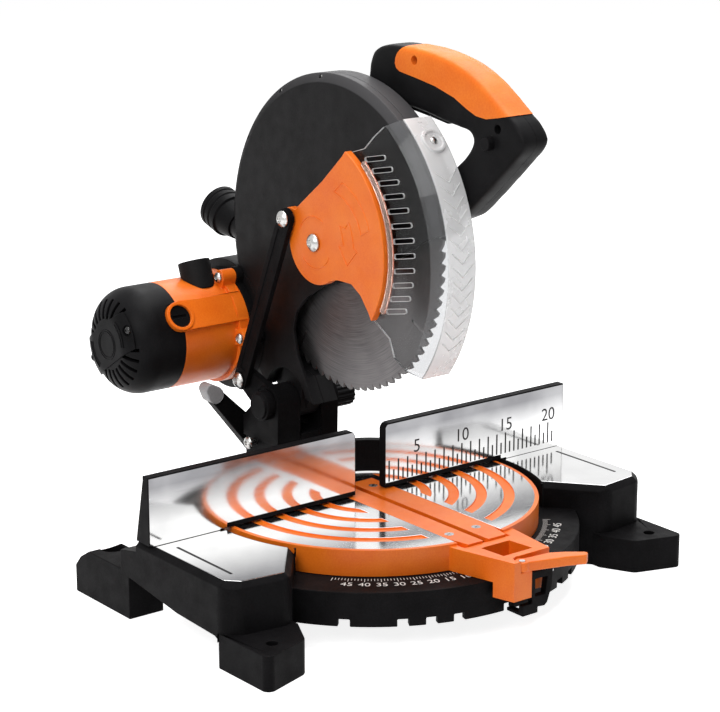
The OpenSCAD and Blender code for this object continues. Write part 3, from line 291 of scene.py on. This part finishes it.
def groundFinish(name, paint, mask, tones=None):
    s, g = paintSettings[paint], groundSettings
    t, shader, coords = newFinish(name)
    x, y, z = t.add("ShaderNodeSeparateXYZ", Vector=coords).outputs
    bare = mask(t, x, y, z)
    tone, rough, normal = paintParts(t, coords, s)
    scratch = t.noise(t.stretch(coords, g["scratch"]), 1.0, 3.0)
    cloud = t.noise(coords, g["cloud"], 3.0)
    dark, light = tones(t, z) if tones else (g["dark"], g["light"])
    metal = t.mix(t.ramp(cloud, *g["cloudSpread"]), dark, light)
    metalRough = t.ramp(t.blend(scratch, cloud, g["scratchShare"]), *g["roughSpread"], *g["rough"])
    metalNormal = t.bump(scratch, g["strength"], g["depth"])
    t.set(shader, Base_Color=t.mix(bare, tone, metal), Metallic=bare,
          Roughness=t.mix(bare, rough, metalRough, "FLOAT"), Normal=t.mix(bare, normal, metalNormal, "VECTOR"),
          Specular_IOR_Level=s["specular"])


def wingMask(t, x, y, z):
    return t.math("MULTIPLY", above(t, z, wingFace["level"]), above(t, fromTableAxis(t, x, y), wingFace["outside"]))


def landMask(t, x, y, z):
    return t.math("MULTIPLY", above(t, z, landFace["level"]), below(t, fromTableAxis(t, x, y), landFace["inside"]))


def fenceMask(t, x, y, z):
    s = fenceFace
    front = below(t, y, fenceY + s["front"])
    side = t.math("ABSOLUTE", x)
    inside = t.math("MULTIPLY", above(t, side, s["x"][0]), below(t, side, s["x"][1]))
    foot = t.ramp(side, *(size * mm for size in s["passX"] + s["foot"]))
    tall = t.math("MULTIPLY", t.math("GREATER_THAN", z, foot), below(t, z, s["top"]))
    return t.math("MULTIPLY", front, t.math("MULTIPLY", inside, tall))


# painted reflection: bare fence tones that darken from the foot towards the top
def fenceTones(t, z):
    reflectionFade = t.ramp(z, *(level * mm for level in fenceFace["reflectionFadeZ"]))
    return t.mix(reflectionFade, *fenceFace["dark"]), t.mix(reflectionFade, *fenceFace["light"])


groundFinish("wingCasting", "castBlack", wingMask)
groundFinish("tableCasting", "mouldedOrange", landMask)
groundFinish("fenceCasting", "castBlack", fenceMask, fenceTones)


# saw blade: dark ground steel with rings round the arbor, brighter tips
bladeSettings = {
    "dark": (0.07, 0.066, 0.068), "light": (0.19, 0.18, 0.182), "spread": (0.33, 0.67),
    "tip": (0.14, 0.135, 0.135), "tipRadius": 124.0, "tipBlur": 0.6,
    "rings": 1600, "arcs": 2.5, "ringShare": 0.65, "cloud": 22, "metallic": 0.85,
    "rough": (0.28, 0.44), "roughSpread": (0.3, 0.7), "strength": 0.1, "depth": 0.00004,
}


def bladeFinish(s):
    t, shader, coords = newFinish("groundBlade")
    _, y, z = t.add("ShaderNodeSeparateXYZ", Vector=coords).outputs
    dy, dz, far = aboutX(t, y, z, arbor)
    turn = t.math("ARCTAN2", dz, dy)
    wound = t.add("ShaderNodeCombineXYZ", X=t.math("MULTIPLY", far, s["rings"]), Y=t.math("MULTIPLY", turn, s["arcs"]))
    lines = t.noise(wound.outputs[0], 1.0, 4.0, 0.65)
    shade = t.blend(lines, t.noise(coords, s["cloud"]), s["ringShare"])
    tone = t.mix(t.ramp(shade, *s["spread"]), s["dark"], s["light"])
    tone = t.mix(above(t, far, s["tipRadius"], s["tipBlur"]), tone, s["tip"])
    t.set(shader, Base_Color=tone, Metallic=s["metallic"], Roughness=t.ramp(lines, *s["roughSpread"], *s["rough"]),
          Normal=t.bump(lines, s["strength"], s["depth"]))


bladeFinish(bladeSettings)


# clear mouldings: tinted side, frosted rim, pale cone and cut edges, and the lip that takes up the plate's colour
clearSettings = {
    "clearMoulding": dict(tone=(0.57, 0.575, 0.58, 1.0), rough=(0.004, 0.03), through=1.0, index=1.16),
    "frostedRim": dict(tone=(0.92, 0.92, 0.925, 1.0), rough=(0.2, 0.36), through=0.36, index=1.4),
    "paleCone": dict(tone=(0.52, 0.525, 0.535, 1.0), rough=(0.02, 0.1), through=0.9, index=1.24),
    "paleEdge": dict(tone=(0.92, 0.92, 0.92, 1.0), rough=(0.3, 0.5), through=0.3, index=1.4),
    "warmClear": dict(tone=(0.96, 0.72, 0.62, 1.0), rough=(0.05, 0.16), through=0.85, index=1.4),
}
haze = {"scale": 45, "spread": (0.4, 0.75)}


def clearFinish(name):
    s = clearSettings[name]
    t, shader, coords = newFinish(name)
    rough = t.ramp(t.noise(coords, haze["scale"], 3.0), *haze["spread"], *s["rough"])
    t.set(shader, Base_Color=s["tone"], Roughness=rough, IOR=s["index"], Transmission_Weight=s["through"])


for clearName in clearSettings:
    clearFinish(clearName)
print("finishes made:", len(finishes))


# which finish each CAD node takes
nodeFinish = {
    "wingCasting": "base_casting",
    "fenceCasting": "fence",
    "tableCasting": "turntable",
    "mouldedOrange": "insert_left insert_right mitre_lock_lever motor_housing guard_side_plate",
    "gripOrange": "grip_cover",
    "castBlack": "detent_latch tilt_bracket hinge_cap guard_link bevel_lock_lever motor_adapter",
    "guardBlack": "arm_casting guard_cover",
    "mouldedBlack": "belt_cover motor_end_cap brush_caps dust_port handle_left handle_right trigger "
                    "lock_off_button hold_down_knob cooling_fan switch_body",
    "rubberBlack": "cord_gland",
    "gearBlack": "drive_belt",
    "paleGrey": "bevel_lever_tip",
    "pointerRed": "mitre_pointer",
    "carbonGrey": "carbon_brushes",
    "zincScrew": "fence_bolts centre_bolt insert_screws bevel_bolt bevel_stop_screws link_lower_bolt "
                 "link_upper_bolt case_screws guard_pivot_bolt motor_screws blade_bolt guard_screws",
    "steelPin": "lever_pin latch_pin hinge_shaft return_spring hold_down_pin spindle inner_flange "
                "outer_flange bearings",
    "stampedIron": "stator armature",
    "turnedAlloy": "driven_pulley drive_pulley",
    "groundBlade": "blade",
    "clearMoulding": "clear_guard",
}
finishOf = {name: finishes[finish] for finish, names in nodeFinish.items() for name in names.split()}
for name, part in nodes.items():
    part.data.materials.clear()
    part.data.materials.append(finishOf[name])


# shared ways of making a piece
def link(piece, body, finishName=None, covers=()):
    if piece.name not in scene.collection.objects:
        scene.collection.objects.link(piece)
    if finishName:
        piece.data.materials.clear()
        piece.data.materials.append(finishes[finishName])
    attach(piece, body)
    if covers:
        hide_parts(*covers)


def fromBmesh(bm, name, smooth=32):
    mesh = bpy.data.meshes.new(name)
    bm.to_mesh(mesh)
    bm.free()
    for layer in ("custom_normal", "sharp_face"):
        if layer in mesh.attributes:
            mesh.attributes.remove(mesh.attributes[layer])
    mesh.shade_smooth()
    mesh.set_sharp_from_angle(angle=math.radians(smooth))
    return bpy.data.objects.new(name, mesh)


mergeBy = {"distance": 2e-6, "flat": 0.6}      # in m and degrees
edgeTurn = 28                                  # edges that turn by more degrees are rounded


def mergedCopy(name):
    bm = bmesh.new()
    bm.from_mesh(nodes[name].data)
    bmesh.ops.remove_doubles(bm, verts=bm.verts, dist=mergeBy["distance"])
    bmesh.ops.dissolve_limit(bm, angle_limit=math.radians(mergeBy["flat"]), verts=bm.verts, edges=bm.edges)
    return bm


def softEdges(bm, width, segments):
    edges = [e for e in bm.edges if e.is_manifold and e.calc_face_angle(0) > math.radians(edgeTurn)]
    bmesh.ops.bevel(bm, geom=edges, offset=width * mm, offset_type="OFFSET", affect="EDGES", segments=segments,
                    profile=0.5, material=-1, clamp_overlap=False, loop_slide=True)


def addWeighting(piece):
    weight = piece.modifiers.new("evenShading", "WEIGHTED_NORMAL")
    weight.keep_sharp = True


# castings and mouldings whose edges are rounded: width in mm, segments
edgeSettings = {
    "base_casting": (0.9, 2), "fence": (0.7, 2), "turntable": (0.5, 2), "insert_left": (0.4, 2),
    "insert_right": (0.4, 2), "mitre_lock_lever": (1.2, 3), "detent_latch": (0.8, 2), "tilt_bracket": (0.8, 2),
    "hinge_cap": (0.9, 3), "bevel_lock_lever": (1.2, 3), "bevel_lever_tip": (1.2, 3), "arm_casting": (0.7, 2),
    "guard_cover": (0.7, 2), "belt_cover": (2.4, 4), "motor_housing": (0.8, 2), "motor_end_cap": (0.5, 2),
    "motor_adapter": (0.7, 2), "brush_caps": (0.5, 2), "cord_gland": (1.2, 3), "dust_port": (0.3, 2),
    "guard_side_plate": (0.9, 3), "guard_link": (0.6, 2), "trigger": (2.0, 4), "lock_off_button": (0.8, 3),
    "hold_down_knob": (0.5, 2), "case_screws": (0.3, 2), "motor_screws": (0.4, 2), "guard_pivot_bolt": (0.6, 3),
    "link_upper_bolt": (0.6, 3), "link_lower_bolt": (0.6, 3), "bevel_stop_screws": (0.5, 3),
}
# the table arm's upright front corners: spot in plan and radius, in mm
armCorners = {"corners": [((-15, -196), 8), ((3.5, -196), 3)], "search": 6.8, "tall": 1.0, "segments": 6}
# blackened screws in the handle and the motor's end, by where they sit
darkScrews = {"handleX": 12, "handleZ": 300, "endX": -120}


def roundCorners(bm, s):
    for (x, y), radius in s["corners"]:
        spot = at(x, y, 0).xy
        edges = [e for e in bm.edges if abs(e.verts[0].co.z - e.verts[1].co.z) > s["tall"] * mm
                 and all((v.co.xy - spot).length < s["search"] * mm for v in e.verts)]
        bmesh.ops.bevel(bm, geom=edges, offset=radius * mm, offset_type="OFFSET", affect="EDGES",
                        segments=s["segments"], profile=0.5, material=-1, clamp_overlap=True)


def blackenScrews(piece, s):
    piece.data.materials.append(finishes["darkScrew"])
    for face in piece.data.polygons:
        x, _, z = face.center / mm
        inHandle = x > s["handleX"] and z > s["handleZ"]
        face.material_index = int(inHandle or x < s["endX"])


for name, (width, segments) in edgeSettings.items():
    bm = mergedCopy(name)
    if name == "turntable":
        roundCorners(bm, armCorners)
    softEdges(bm, width, segments)
    piece = fromBmesh(bm, name + ".soft")
    piece.data.materials.append(finishOf[name])
    if name == "case_screws":
        blackenScrews(piece, darkScrews)
    link(piece, bodyOf[name], covers=(name,))
    addWeighting(piece)
print("soft-edged pieces:", len(edgeSettings))


# shared ways of making a detail; outlines and spots are (y, z) in mm
def slab(outline, x0, x1):
    bm = bmesh.new()
    face = bm.faces.new([bm.verts.new(at(x0, y, z)) for y, z in outline])
    grown = bmesh.ops.extrude_face_region(bm, geom=[face])["geom"]
    moved = [v for v in grown if isinstance(v, bmesh.types.BMVert)]
    bmesh.ops.translate(bm, verts=moved, vec=((x1 - x0) * mm, 0, 0))
    return bm


def rodX(bm, spot, radius, x0, x1, segments=40):
    turn = Matrix.Translation(at((x0 + x1) / 2, *spot)) @ Matrix.Rotation(math.pi / 2, 4, "Y")
    bmesh.ops.create_cone(bm, cap_ends=True, segments=segments, radius1=radius * mm, radius2=radius * mm,
                          depth=abs(x1 - x0) * mm, matrix=turn)


def polar(centre, radius, turn, x):
    # a spot about an axis along X: degrees run from the rear towards the top
    a = math.radians(turn)
    return at(x, centre[0] + radius * math.cos(a), centre[1] + radius * math.sin(a))


def arc(centre, radius, start, stop, x, count=24):
    return [polar(centre, radius, start + (stop - start) * i / (count - 1), x) for i in range(count)]


def ring(centre, radius, x, count=48):
    return [polar(centre, radius, 360 * i / count, x) for i in range(count)]


def settled(piece):
    if piece.name not in scene.collection.objects:
        scene.collection.objects.link(piece)
    mesh = bpy.data.meshes.new_from_object(piece.evaluated_get(bpy.context.evaluated_depsgraph_get()))
    bpy.data.objects.remove(piece)
    return mesh


def combined(mesh, tool, operation):
    base = bpy.data.objects.new("base", mesh)
    other = bpy.data.objects.new("tool", tool)
    scene.collection.objects.link(other)
    cut = base.modifiers.new("cut", "BOOLEAN")
    cut.operation, cut.object, cut.solver = operation, other, "EXACT"
    made = settled(base)
    bpy.data.objects.remove(other)
    return made


def asMesh(bm):
    mesh = bpy.data.meshes.new("form")
    bmesh.ops.recalc_face_normals(bm, faces=bm.faces)
    bm.to_mesh(mesh)
    bm.free()
    return mesh


def asPiece(mesh, name, smooth):
    bm = bmesh.new()
    bm.from_mesh(mesh)
    return fromBmesh(bm, name, smooth)


def wires(name, lines, radius, body, finishName):
    # thin moulded ridges: each line is a list of points and whether it closes
    curve = bpy.data.curves.new(name, "CURVE")
    curve.dimensions = "3D"
    curve.bevel_depth, curve.bevel_resolution, curve.use_fill_caps = radius * mm, 1, True
    for points, closed in lines:
        spline = curve.splines.new("POLY")
        spline.points.add(len(points) - 1)
        for knot, point in zip(spline.points, points):
            knot.co = (*point, 1.0)
        spline.use_cyclic_u = closed
    mesh = settled(bpy.data.objects.new(name + ".line", curve))
    link(asPiece(mesh, name, 60), body, finishName)


# handle: one rounded form, parted down the middle, with the soft grip let into its back
handle = {
    "outline": [
        (20, 364), (23.5, 398), (23.5, 412), (21.5, 426), (17, 435.5), (9, 440.5), (-6, 443.8), (-24.5, 443.6),
        (-41, 443.2), (-56, 442), (-71, 439.6), (-86.5, 436.2), (-102, 430.8), (-117, 423.6), (-132, 413.8),
        (-146, 404), (-156, 398), (-163.5, 390.5), (-166.5, 385), (-165.5, 379.5), (-161, 374), (-146.3, 360.3),
        (-125, 340.4), (-103.2, 321.1), (-96, 315.5), (-82.5, 310), (-58, 302), (-38, 316), (-81.5, 352.5),
        (-95.5, 363.5), (-102.5, 371), (-106.5, 378), (-105, 382.5), (-100, 384.3), (-86, 385.8), (-70.6, 388),
        (-55, 391), (-31.6, 394.2), (-18.8, 394.7), (-6, 391), (2, 384), (4, 364)],
    "gripEdge": [
        (-36, 453), (-26.5, 443.9), (-20.5, 440.6), (-16.4, 436.6), (-14.2, 432.6), (-13.6, 428.2), (-15.4, 424.6),
        (-19.5, 422.4), (-40, 419.4), (-63, 415.5), (-86, 409.2), (-101, 402.2), (-112, 398.1), (-123.5, 397.1),
        (-138, 399.8), (-152, 403), (-170, 440), (-100, 470)],
    "slot": [(-4, 370), (-4, 409), (-28, 412.5), (-50, 411.5), (-78, 405), (-78, 370)],
    "x": (13.0, 28.0, 43.0), "slotX": (20.6, 35.4), "parting": 0.12, "overhang": 20, "boreStart": 10,
    "voxel": 1.5, "softness": (0.5, 70), "trim": -0.9, "proud": -0.4, "smooth": 40,
    "recesses": [(-37.7, 433), (-136.5, 391)], "recessRadius": 3.7, "recessDepth": 9,
    "lock": (-128, 379), "lockRadius": 5.35, "lockPast": 6.2,
}


def roundedForm(s, grow):
    piece = bpy.data.objects.new("handleForm", asMesh(slab(s["outline"], s["x"][0], s["x"][2])))
    remesh = piece.modifiers.new("even", "REMESH")
    remesh.mode, remesh.voxel_size = "VOXEL", s["voxel"] * mm
    soften = piece.modifiers.new("soften", "SMOOTH")
    soften.factor, soften.iterations = s["softness"]
    proud = piece.modifiers.new("proud", "DISPLACE")
    proud.strength, proud.mid_level = grow * mm, 0.0
    return settled(piece)


def addHandle(s):
    left, mid, right = s["x"]
    gripTool = asMesh(slab(s["gripEdge"], left - s["overhang"], right + s["overhang"]))
    grip = combined(roundedForm(s, s["proud"]), gripTool, "INTERSECT")
    body = combined(roundedForm(s, s["trim"]), gripTool, "DIFFERENCE")
    body = combined(body, asMesh(slab(s["slot"], *s["slotX"])), "DIFFERENCE")
    holes, bore = bmesh.new(), bmesh.new()
    for spot in s["recesses"]:
        rodX(holes, spot, s["recessRadius"], left - s["boreStart"], left + s["recessDepth"])
    rodX(bore, s["lock"], s["lockRadius"], left - s["boreStart"], mid + s["lockPast"])
    holes, bore = asMesh(holes), asMesh(bore)
    grip, body = combined(grip, holes, "DIFFERENCE"), combined(body, holes, "DIFFERENCE")
    link(asPiece(grip, "grip_cover.soft", s["smooth"]), "head", "gripOrange", ("grip_cover",))
    for name, outwards in (("handle_left", -1), ("handle_right", 1)):
        bm = bmesh.new()
        bm.from_mesh(body)
        bmesh.ops.bisect_plane(bm, geom=[*bm.verts, *bm.edges, *bm.faces], clear_outer=True,
                               plane_co=at(mid + outwards * s["parting"], 0, 0), plane_no=(-outwards, 0, 0))
        bmesh.ops.holes_fill(bm, edges=[e for e in bm.edges if e.is_boundary])
        half = combined(asMesh(bm), bore, "DIFFERENCE")
        link(asPiece(half, name + ".soft", s["smooth"]), "head", "mouldedBlack", (name,))


addHandle(handle)
print("handle made")


# motor end cap: a double ring and curved ridges on its tilted bar
endCap = {"centre": (190.0, 180.0), "rings": (13.0, 11.0), "ridges": (23.0, 25.8), "turns": (148.0, 328.0),
          "spread": 27, "sunk": 0.1, "wire": 0.55}


def addCapRidges(s):
    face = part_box("motor_end_cap")[0][0] / mm + s["sunk"]
    lines = [(ring(s["centre"], radius, face), True) for radius in s["rings"]]
    for turn in s["turns"]:
        for radius in s["ridges"]:
            lines.append((arc(s["centre"], radius, turn - s["spread"], turn + s["spread"], face), False))
    wires("capRidges", lines, s["wire"], "head", "mouldedBlack")


addCapRidges(endCap)
print("motor end cap made")


# side plate: ridges moulded in its face; turns in degrees about the arbor
plate = {
    "x": -31.05, "wire": 0.45, "ring": 21.5, "ringTurns": ((22, 122), (206, 318)),
    "arrow": (38.5, 51.5), "arrowInner": (150, 174), "arrowOuter": (176, 152), "barbs": ((-6, 175), (5, 178)),
    "tip": 195, "notch": 156,
    "bandShift": (-20.0, 2.5), "band": (43.5, 55.0), "bandInner": (98, 162), "bandOuter": (160, 108),
}


def addPlateRidges(s):
    x = s["x"]
    low, high = s["arrow"]
    lowBarb, highBarb = s["barbs"]
    middle = (low + high) / 2
    head = [polar(arbor, low + lowBarb[0], lowBarb[1], x), polar(arbor, middle, s["tip"], x),
            polar(arbor, high + highBarb[0], highBarb[1], x)]
    arrow = (arc(arbor, low, *s["arrowInner"], x, 12) + head + arc(arbor, high, *s["arrowOuter"], x, 12)
             + [polar(arbor, middle, s["notch"], x)])
    shift = (arbor[0] + s["bandShift"][0], arbor[1] + s["bandShift"][1])
    band = arc(shift, s["band"][0], *s["bandInner"], x) + arc(shift, s["band"][1], *s["bandOuter"], x)
    lines = [(arc(arbor, s["ring"], *turns, x), False) for turns in s["ringTurns"]]
    lines += [(arrow, True), (band, True)]
    wires("plateRidges", lines, s["wire"], "lower_guard", "mouldedOrange")


addPlateRidges(plate)


# clear guard: frosted rim, pale cone and cut edges, chevrons, screw boss and the lip along the side plate
guard = {
    "middle": (28.4, 278.0), "edge": (0.35, 2), "frostFrom": 141.0, "innerTo": 131, "flat": 0.96,
    "rim": 144.5, "chevronTurns": (148.0, 203.0), "chevrons": 14, "chevronX": (-11.5, -1.5, 8.5), "lift": 3.6,
    "chevronSteps": 3, "chevronProud": 0.1, "wire": 0.4,
    "bossTurn": 137.3, "bossRadius": (11.3, 10.3), "bossHeight": 3.2, "bossRim": 2.2, "bossDish": (0.6, -1.2),
    "bossEdge": (0.3, 2), "screwRadius": 3.4, "screwFlat": 0.5, "screwLift": 0.6,
    "lip": (90.5, 95.0), "lipX": (-27.6, -24.02), "lipTurn": 128, "lipSweep": 80, "lipSteps": 48, "lipEdge": (0.8, 3),
}


def addShield(s):
    bm = mergedCopy("clear_guard")
    softEdges(bm, *s["edge"])
    bm.normal_update()
    centre = at(0, *s["middle"])
    shares = ("clearMoulding", "frostedRim", "paleEdge", "paleCone")
    for face in bm.faces:
        reach = [math.hypot(v.co.y - centre.y, v.co.z - centre.z) / mm for v in face.verts]
        if min(reach) > s["frostFrom"]:
            share = "frostedRim"
        elif abs(face.normal.x) > s["flat"]:
            share = "clearMoulding"
        else:
            share = "paleEdge" if max(reach) < s["innerTo"] else "paleCone"
        face.material_index = shares.index(share)
    shell = fromBmesh(bm, "clear_guard.soft")
    for share in shares:
        shell.data.materials.append(finishes[share])
    link(shell, "lower_guard", covers=("clear_guard",))
    addWeighting(shell)


def addChevrons(s):
    left, tip, right = s["chevronX"]
    first, last = s["chevronTurns"]
    radius, steps = s["rim"] + s["chevronProud"], s["chevronSteps"]
    lines = []
    for i in range(s["chevrons"]):
        turn = first + (last - first) * i / (s["chevrons"] - 1)
        up, down = [[polar(s["middle"], radius, turn + s["lift"] * k / steps, x + (tip - x) * k / steps)
                     for k in range(steps + 1)] for x in (left, right)]
        lines.append((up + down[-2::-1], False))
    wires("guardChevrons", lines, s["wire"], "lower_guard", "paleEdge")


def addBoss(s):
    spot = polar(s["middle"], s["rim"], s["bossTurn"], 0.0)
    tilt = Matrix.Translation(spot) @ Matrix.Rotation(math.radians(s["bossTurn"] - 90), 4, "X")
    foot, top = s["bossRadius"]
    bm = bmesh.new()
    bmesh.ops.create_cone(bm, cap_ends=True, segments=48, radius1=foot * mm, radius2=top * mm,
                          depth=s["bossHeight"] * mm, matrix=tilt)
    cap = max(bm.faces, key=lambda f: (tilt.inverted() @ f.calc_center_median()).z)
    bmesh.ops.inset_region(bm, faces=[cap], thickness=s["bossRim"] * mm, depth=0.0)
    dishWall, dishDepth = s["bossDish"]
    bmesh.ops.inset_region(bm, faces=[cap], thickness=dishWall * mm, depth=dishDepth * mm)
    softEdges(bm, *s["bossEdge"])
    link(fromBmesh(bm, "guardBoss"), "lower_guard", "frostedRim")
    bm = bmesh.new()
    bmesh.ops.create_uvsphere(bm, u_segments=24, v_segments=12, radius=s["screwRadius"] * mm)
    bmesh.ops.scale(bm, vec=(1, 1, s["screwFlat"]), verts=bm.verts)
    bmesh.ops.transform(bm, matrix=tilt @ Matrix.Translation((0, 0, s["screwLift"] * mm)), verts=bm.verts)
    link(fromBmesh(bm, "guardBossScrew"), "lower_guard", "zincScrew")


def addLip(s):
    inner, outer = s["lip"]
    x0, x1 = s["lipX"]
    corners = ((inner, x0), (outer, x0), (outer, x1), (inner, x1))
    bm = bmesh.new()
    face = bm.faces.new([bm.verts.new(polar(arbor, radius, s["lipTurn"], x)) for radius, x in corners])
    bmesh.ops.spin(bm, geom=[face, *face.edges, *face.verts], cent=at(0, *arbor), axis=(1, 0, 0), dvec=(0, 0, 0),
                   angle=math.radians(s["lipSweep"]), steps=s["lipSteps"], use_merge=False, use_duplicate=False)
    bmesh.ops.recalc_face_normals(bm, faces=bm.faces)
    softEdges(bm, *s["lipEdge"])
    link(fromBmesh(bm, "guardLip"), "lower_guard", "warmClear")


addShield(guard)
addChevrons(guard)
addBoss(guard)
addLip(guard)
print("guard made")


# printed scales: fence millimetre scale and mitre degree scale
ink = {"thick": 0.08, "figureThick": 0.03, "fontScale": 1.4}
fenceScale = {"first": 20, "last": 205, "step": 5, "foot": 75.4, "long": 18.5, "short": 10.0, "width": 1.6,
              "tickY": -0.01, "figures": (50, 100, 150, 200), "figure": 11.5, "figureGap": 2.2, "figureY": -0.03}
mitreScale = {"reach": 50, "foot": 143.6, "short": 4.0, "long": 6.4, "width": 0.5, "level": 48.01,
              "figureTo": 45, "figureStep": 5, "figure": 7.0, "figureAt": 159.0}


def addText(target, words, size, place):
    text = bpy.data.curves.new("figures", "FONT")
    text.body, text.align_x = words, "CENTER"
    text.size, text.extrude = size * mm * ink["fontScale"], ink["figureThick"] * mm
    mesh = settled(bpy.data.objects.new("figures", text))
    mesh.transform(place)
    target.from_mesh(mesh)


def addBlock(target, place, size):
    made = bmesh.ops.create_cube(target, size=1.0)["verts"]
    bmesh.ops.scale(target, vec=Vector(size) * mm, verts=made)
    bmesh.ops.transform(target, matrix=place, verts=made)


def addFenceScale(s):
    bm = bmesh.new()
    upright = Matrix.Rotation(math.pi / 2, 4, "X")
    for x in range(s["first"], s["last"] + 1, s["step"]):
        tall = s["long"] if x % (2 * s["step"]) == 0 else s["short"]
        place = Matrix.Translation(at(x, s["tickY"], s["foot"] + tall / 2))
        addBlock(bm, place, (s["width"], ink["thick"], tall))
    for x in s["figures"]:
        place = Matrix.Translation(at(x, s["figureY"], s["foot"] + s["long"] + s["figureGap"])) @ upright
        addText(bm, str(x // 10), s["figure"], place)
    link(fromBmesh(bm, "fenceScale"), "base", "printBlack")


def addMitreScale(s):
    bm = bmesh.new()
    for turn in range(-s["reach"], s["reach"] + 1):
        figured = turn % s["figureStep"] == 0
        tall = s["long"] if figured else s["short"]
        spin = Matrix.Translation(at(0, 0, s["level"])) @ Matrix.Rotation(math.radians(turn), 4, "Z")
        tickPlace = spin @ Matrix.Translation((0, -(s["foot"] + tall / 2) * mm, 0))
        addBlock(bm, tickPlace, (s["width"], tall, ink["thick"]))
        if figured and abs(turn) <= s["figureTo"]:
            addText(bm, str(abs(turn)), s["figure"], spin @ Matrix.Translation((0, -s["figureAt"] * mm, 0)))
    link(fromBmesh(bm, "mitreScale"), "base", "printWhite")


addFenceScale(fenceScale)
addMitreScale(mitreScale)


# wings: a painted sighting groove in each ground face
wingLines = {"x": 200.0, "from": -12.7, "to": -84.5, "width": 2.6, "level": 70.0}


def addWingLines(s):
    bm = bmesh.new()
    radius = s["width"] / 2 * mm
    for x in (-s["x"], s["x"]):
        middle = Matrix.Translation(at(x, (s["from"] + s["to"]) / 2, s["level"]))
        addBlock(bm, middle, (s["width"], s["from"] - s["to"], ink["thick"]))
        for y in (s["from"], s["to"]):
            bmesh.ops.create_cone(bm, cap_ends=True, segments=24, radius1=radius, radius2=radius,
                                  depth=ink["thick"] * mm, matrix=Matrix.Translation(at(x, y, s["level"])))
    link(fromBmesh(bm, "wingLines"), "base", "printBlack")


addWingLines(wingLines)
print("scales and lines made")


# floor, backdrop and light: each lamp has its place, size and power
studio = {
    "floorSize": 6.0, "floorTone": (0.82, 0.82, 0.82, 1.0), "floorRough": 0.9, "floorGlow": 0.86,
    "white": (1, 1, 1, 1), "ambient": 0.15, "aim": (0.0, 0.02, 0.2),
    "lamps": {
        "keyLamp": ((-1.35, -0.55, 1.35), 1.1, 17.5),
        "topLamp": ((0.15, 0.1, 1.75), 1.3, 25.0),
        "frontLamp": ((0.9, -1.5, 0.8), 1.0, 1.0),
        "rearLamp": ((1.05, 1.0, 1.5), 1.2, 11.0),
    },
}


def backgroundRays(t):
    path = t.add("ShaderNodeLightPath").outputs
    seen = t.math("MAXIMUM", path["Is Camera Ray"], path["Is Glossy Ray"])
    return t.math("MAXIMUM", seen, path["Is Transmission Ray"])


def addFloor(s):
    bm = bmesh.new()
    bmesh.ops.create_grid(bm, x_segments=1, y_segments=1, size=s["floorSize"])
    floor = fromBmesh(bm, "paleFloor")
    scene.collection.objects.link(floor)
    t, shader, _ = newFinish("paleFloor")
    t.set(shader, Base_Color=s["floorTone"], Roughness=s["floorRough"], Specular_IOR_Level=0.0,
          Emission_Color=s["white"], Emission_Strength=t.math("MULTIPLY", backgroundRays(t), s["floorGlow"]))
    floor.data.materials.append(finishes["paleFloor"])


def addWorld(s):
    world = scene.world = bpy.data.worlds.new("studio")
    world.use_nodes = True
    t = Tree(world.node_tree)
    back = next(n for n in world.node_tree.nodes if n.type == "BACKGROUND")
    t.set(back, Color=s["white"], Strength=t.ramp(backgroundRays(t), 0.0, 1.0, s["ambient"], 1.0))


def addLamps(s):
    for name, (place, size, power) in s["lamps"].items():
        lampData = bpy.data.lights.new(name, "AREA")
        lampData.shape, lampData.size, lampData.energy = "SQUARE", size, power
        lamp = bpy.data.objects.new(name, lampData)
        lamp.location = place
        lamp.rotation_euler = (Vector(s["aim"]) - Vector(place)).to_track_quat("-Z", "Y").to_euler()
        scene.collection.objects.link(lamp)


addFloor(studio)
addWorld(studio)
addLamps(studio)
print("studio made")
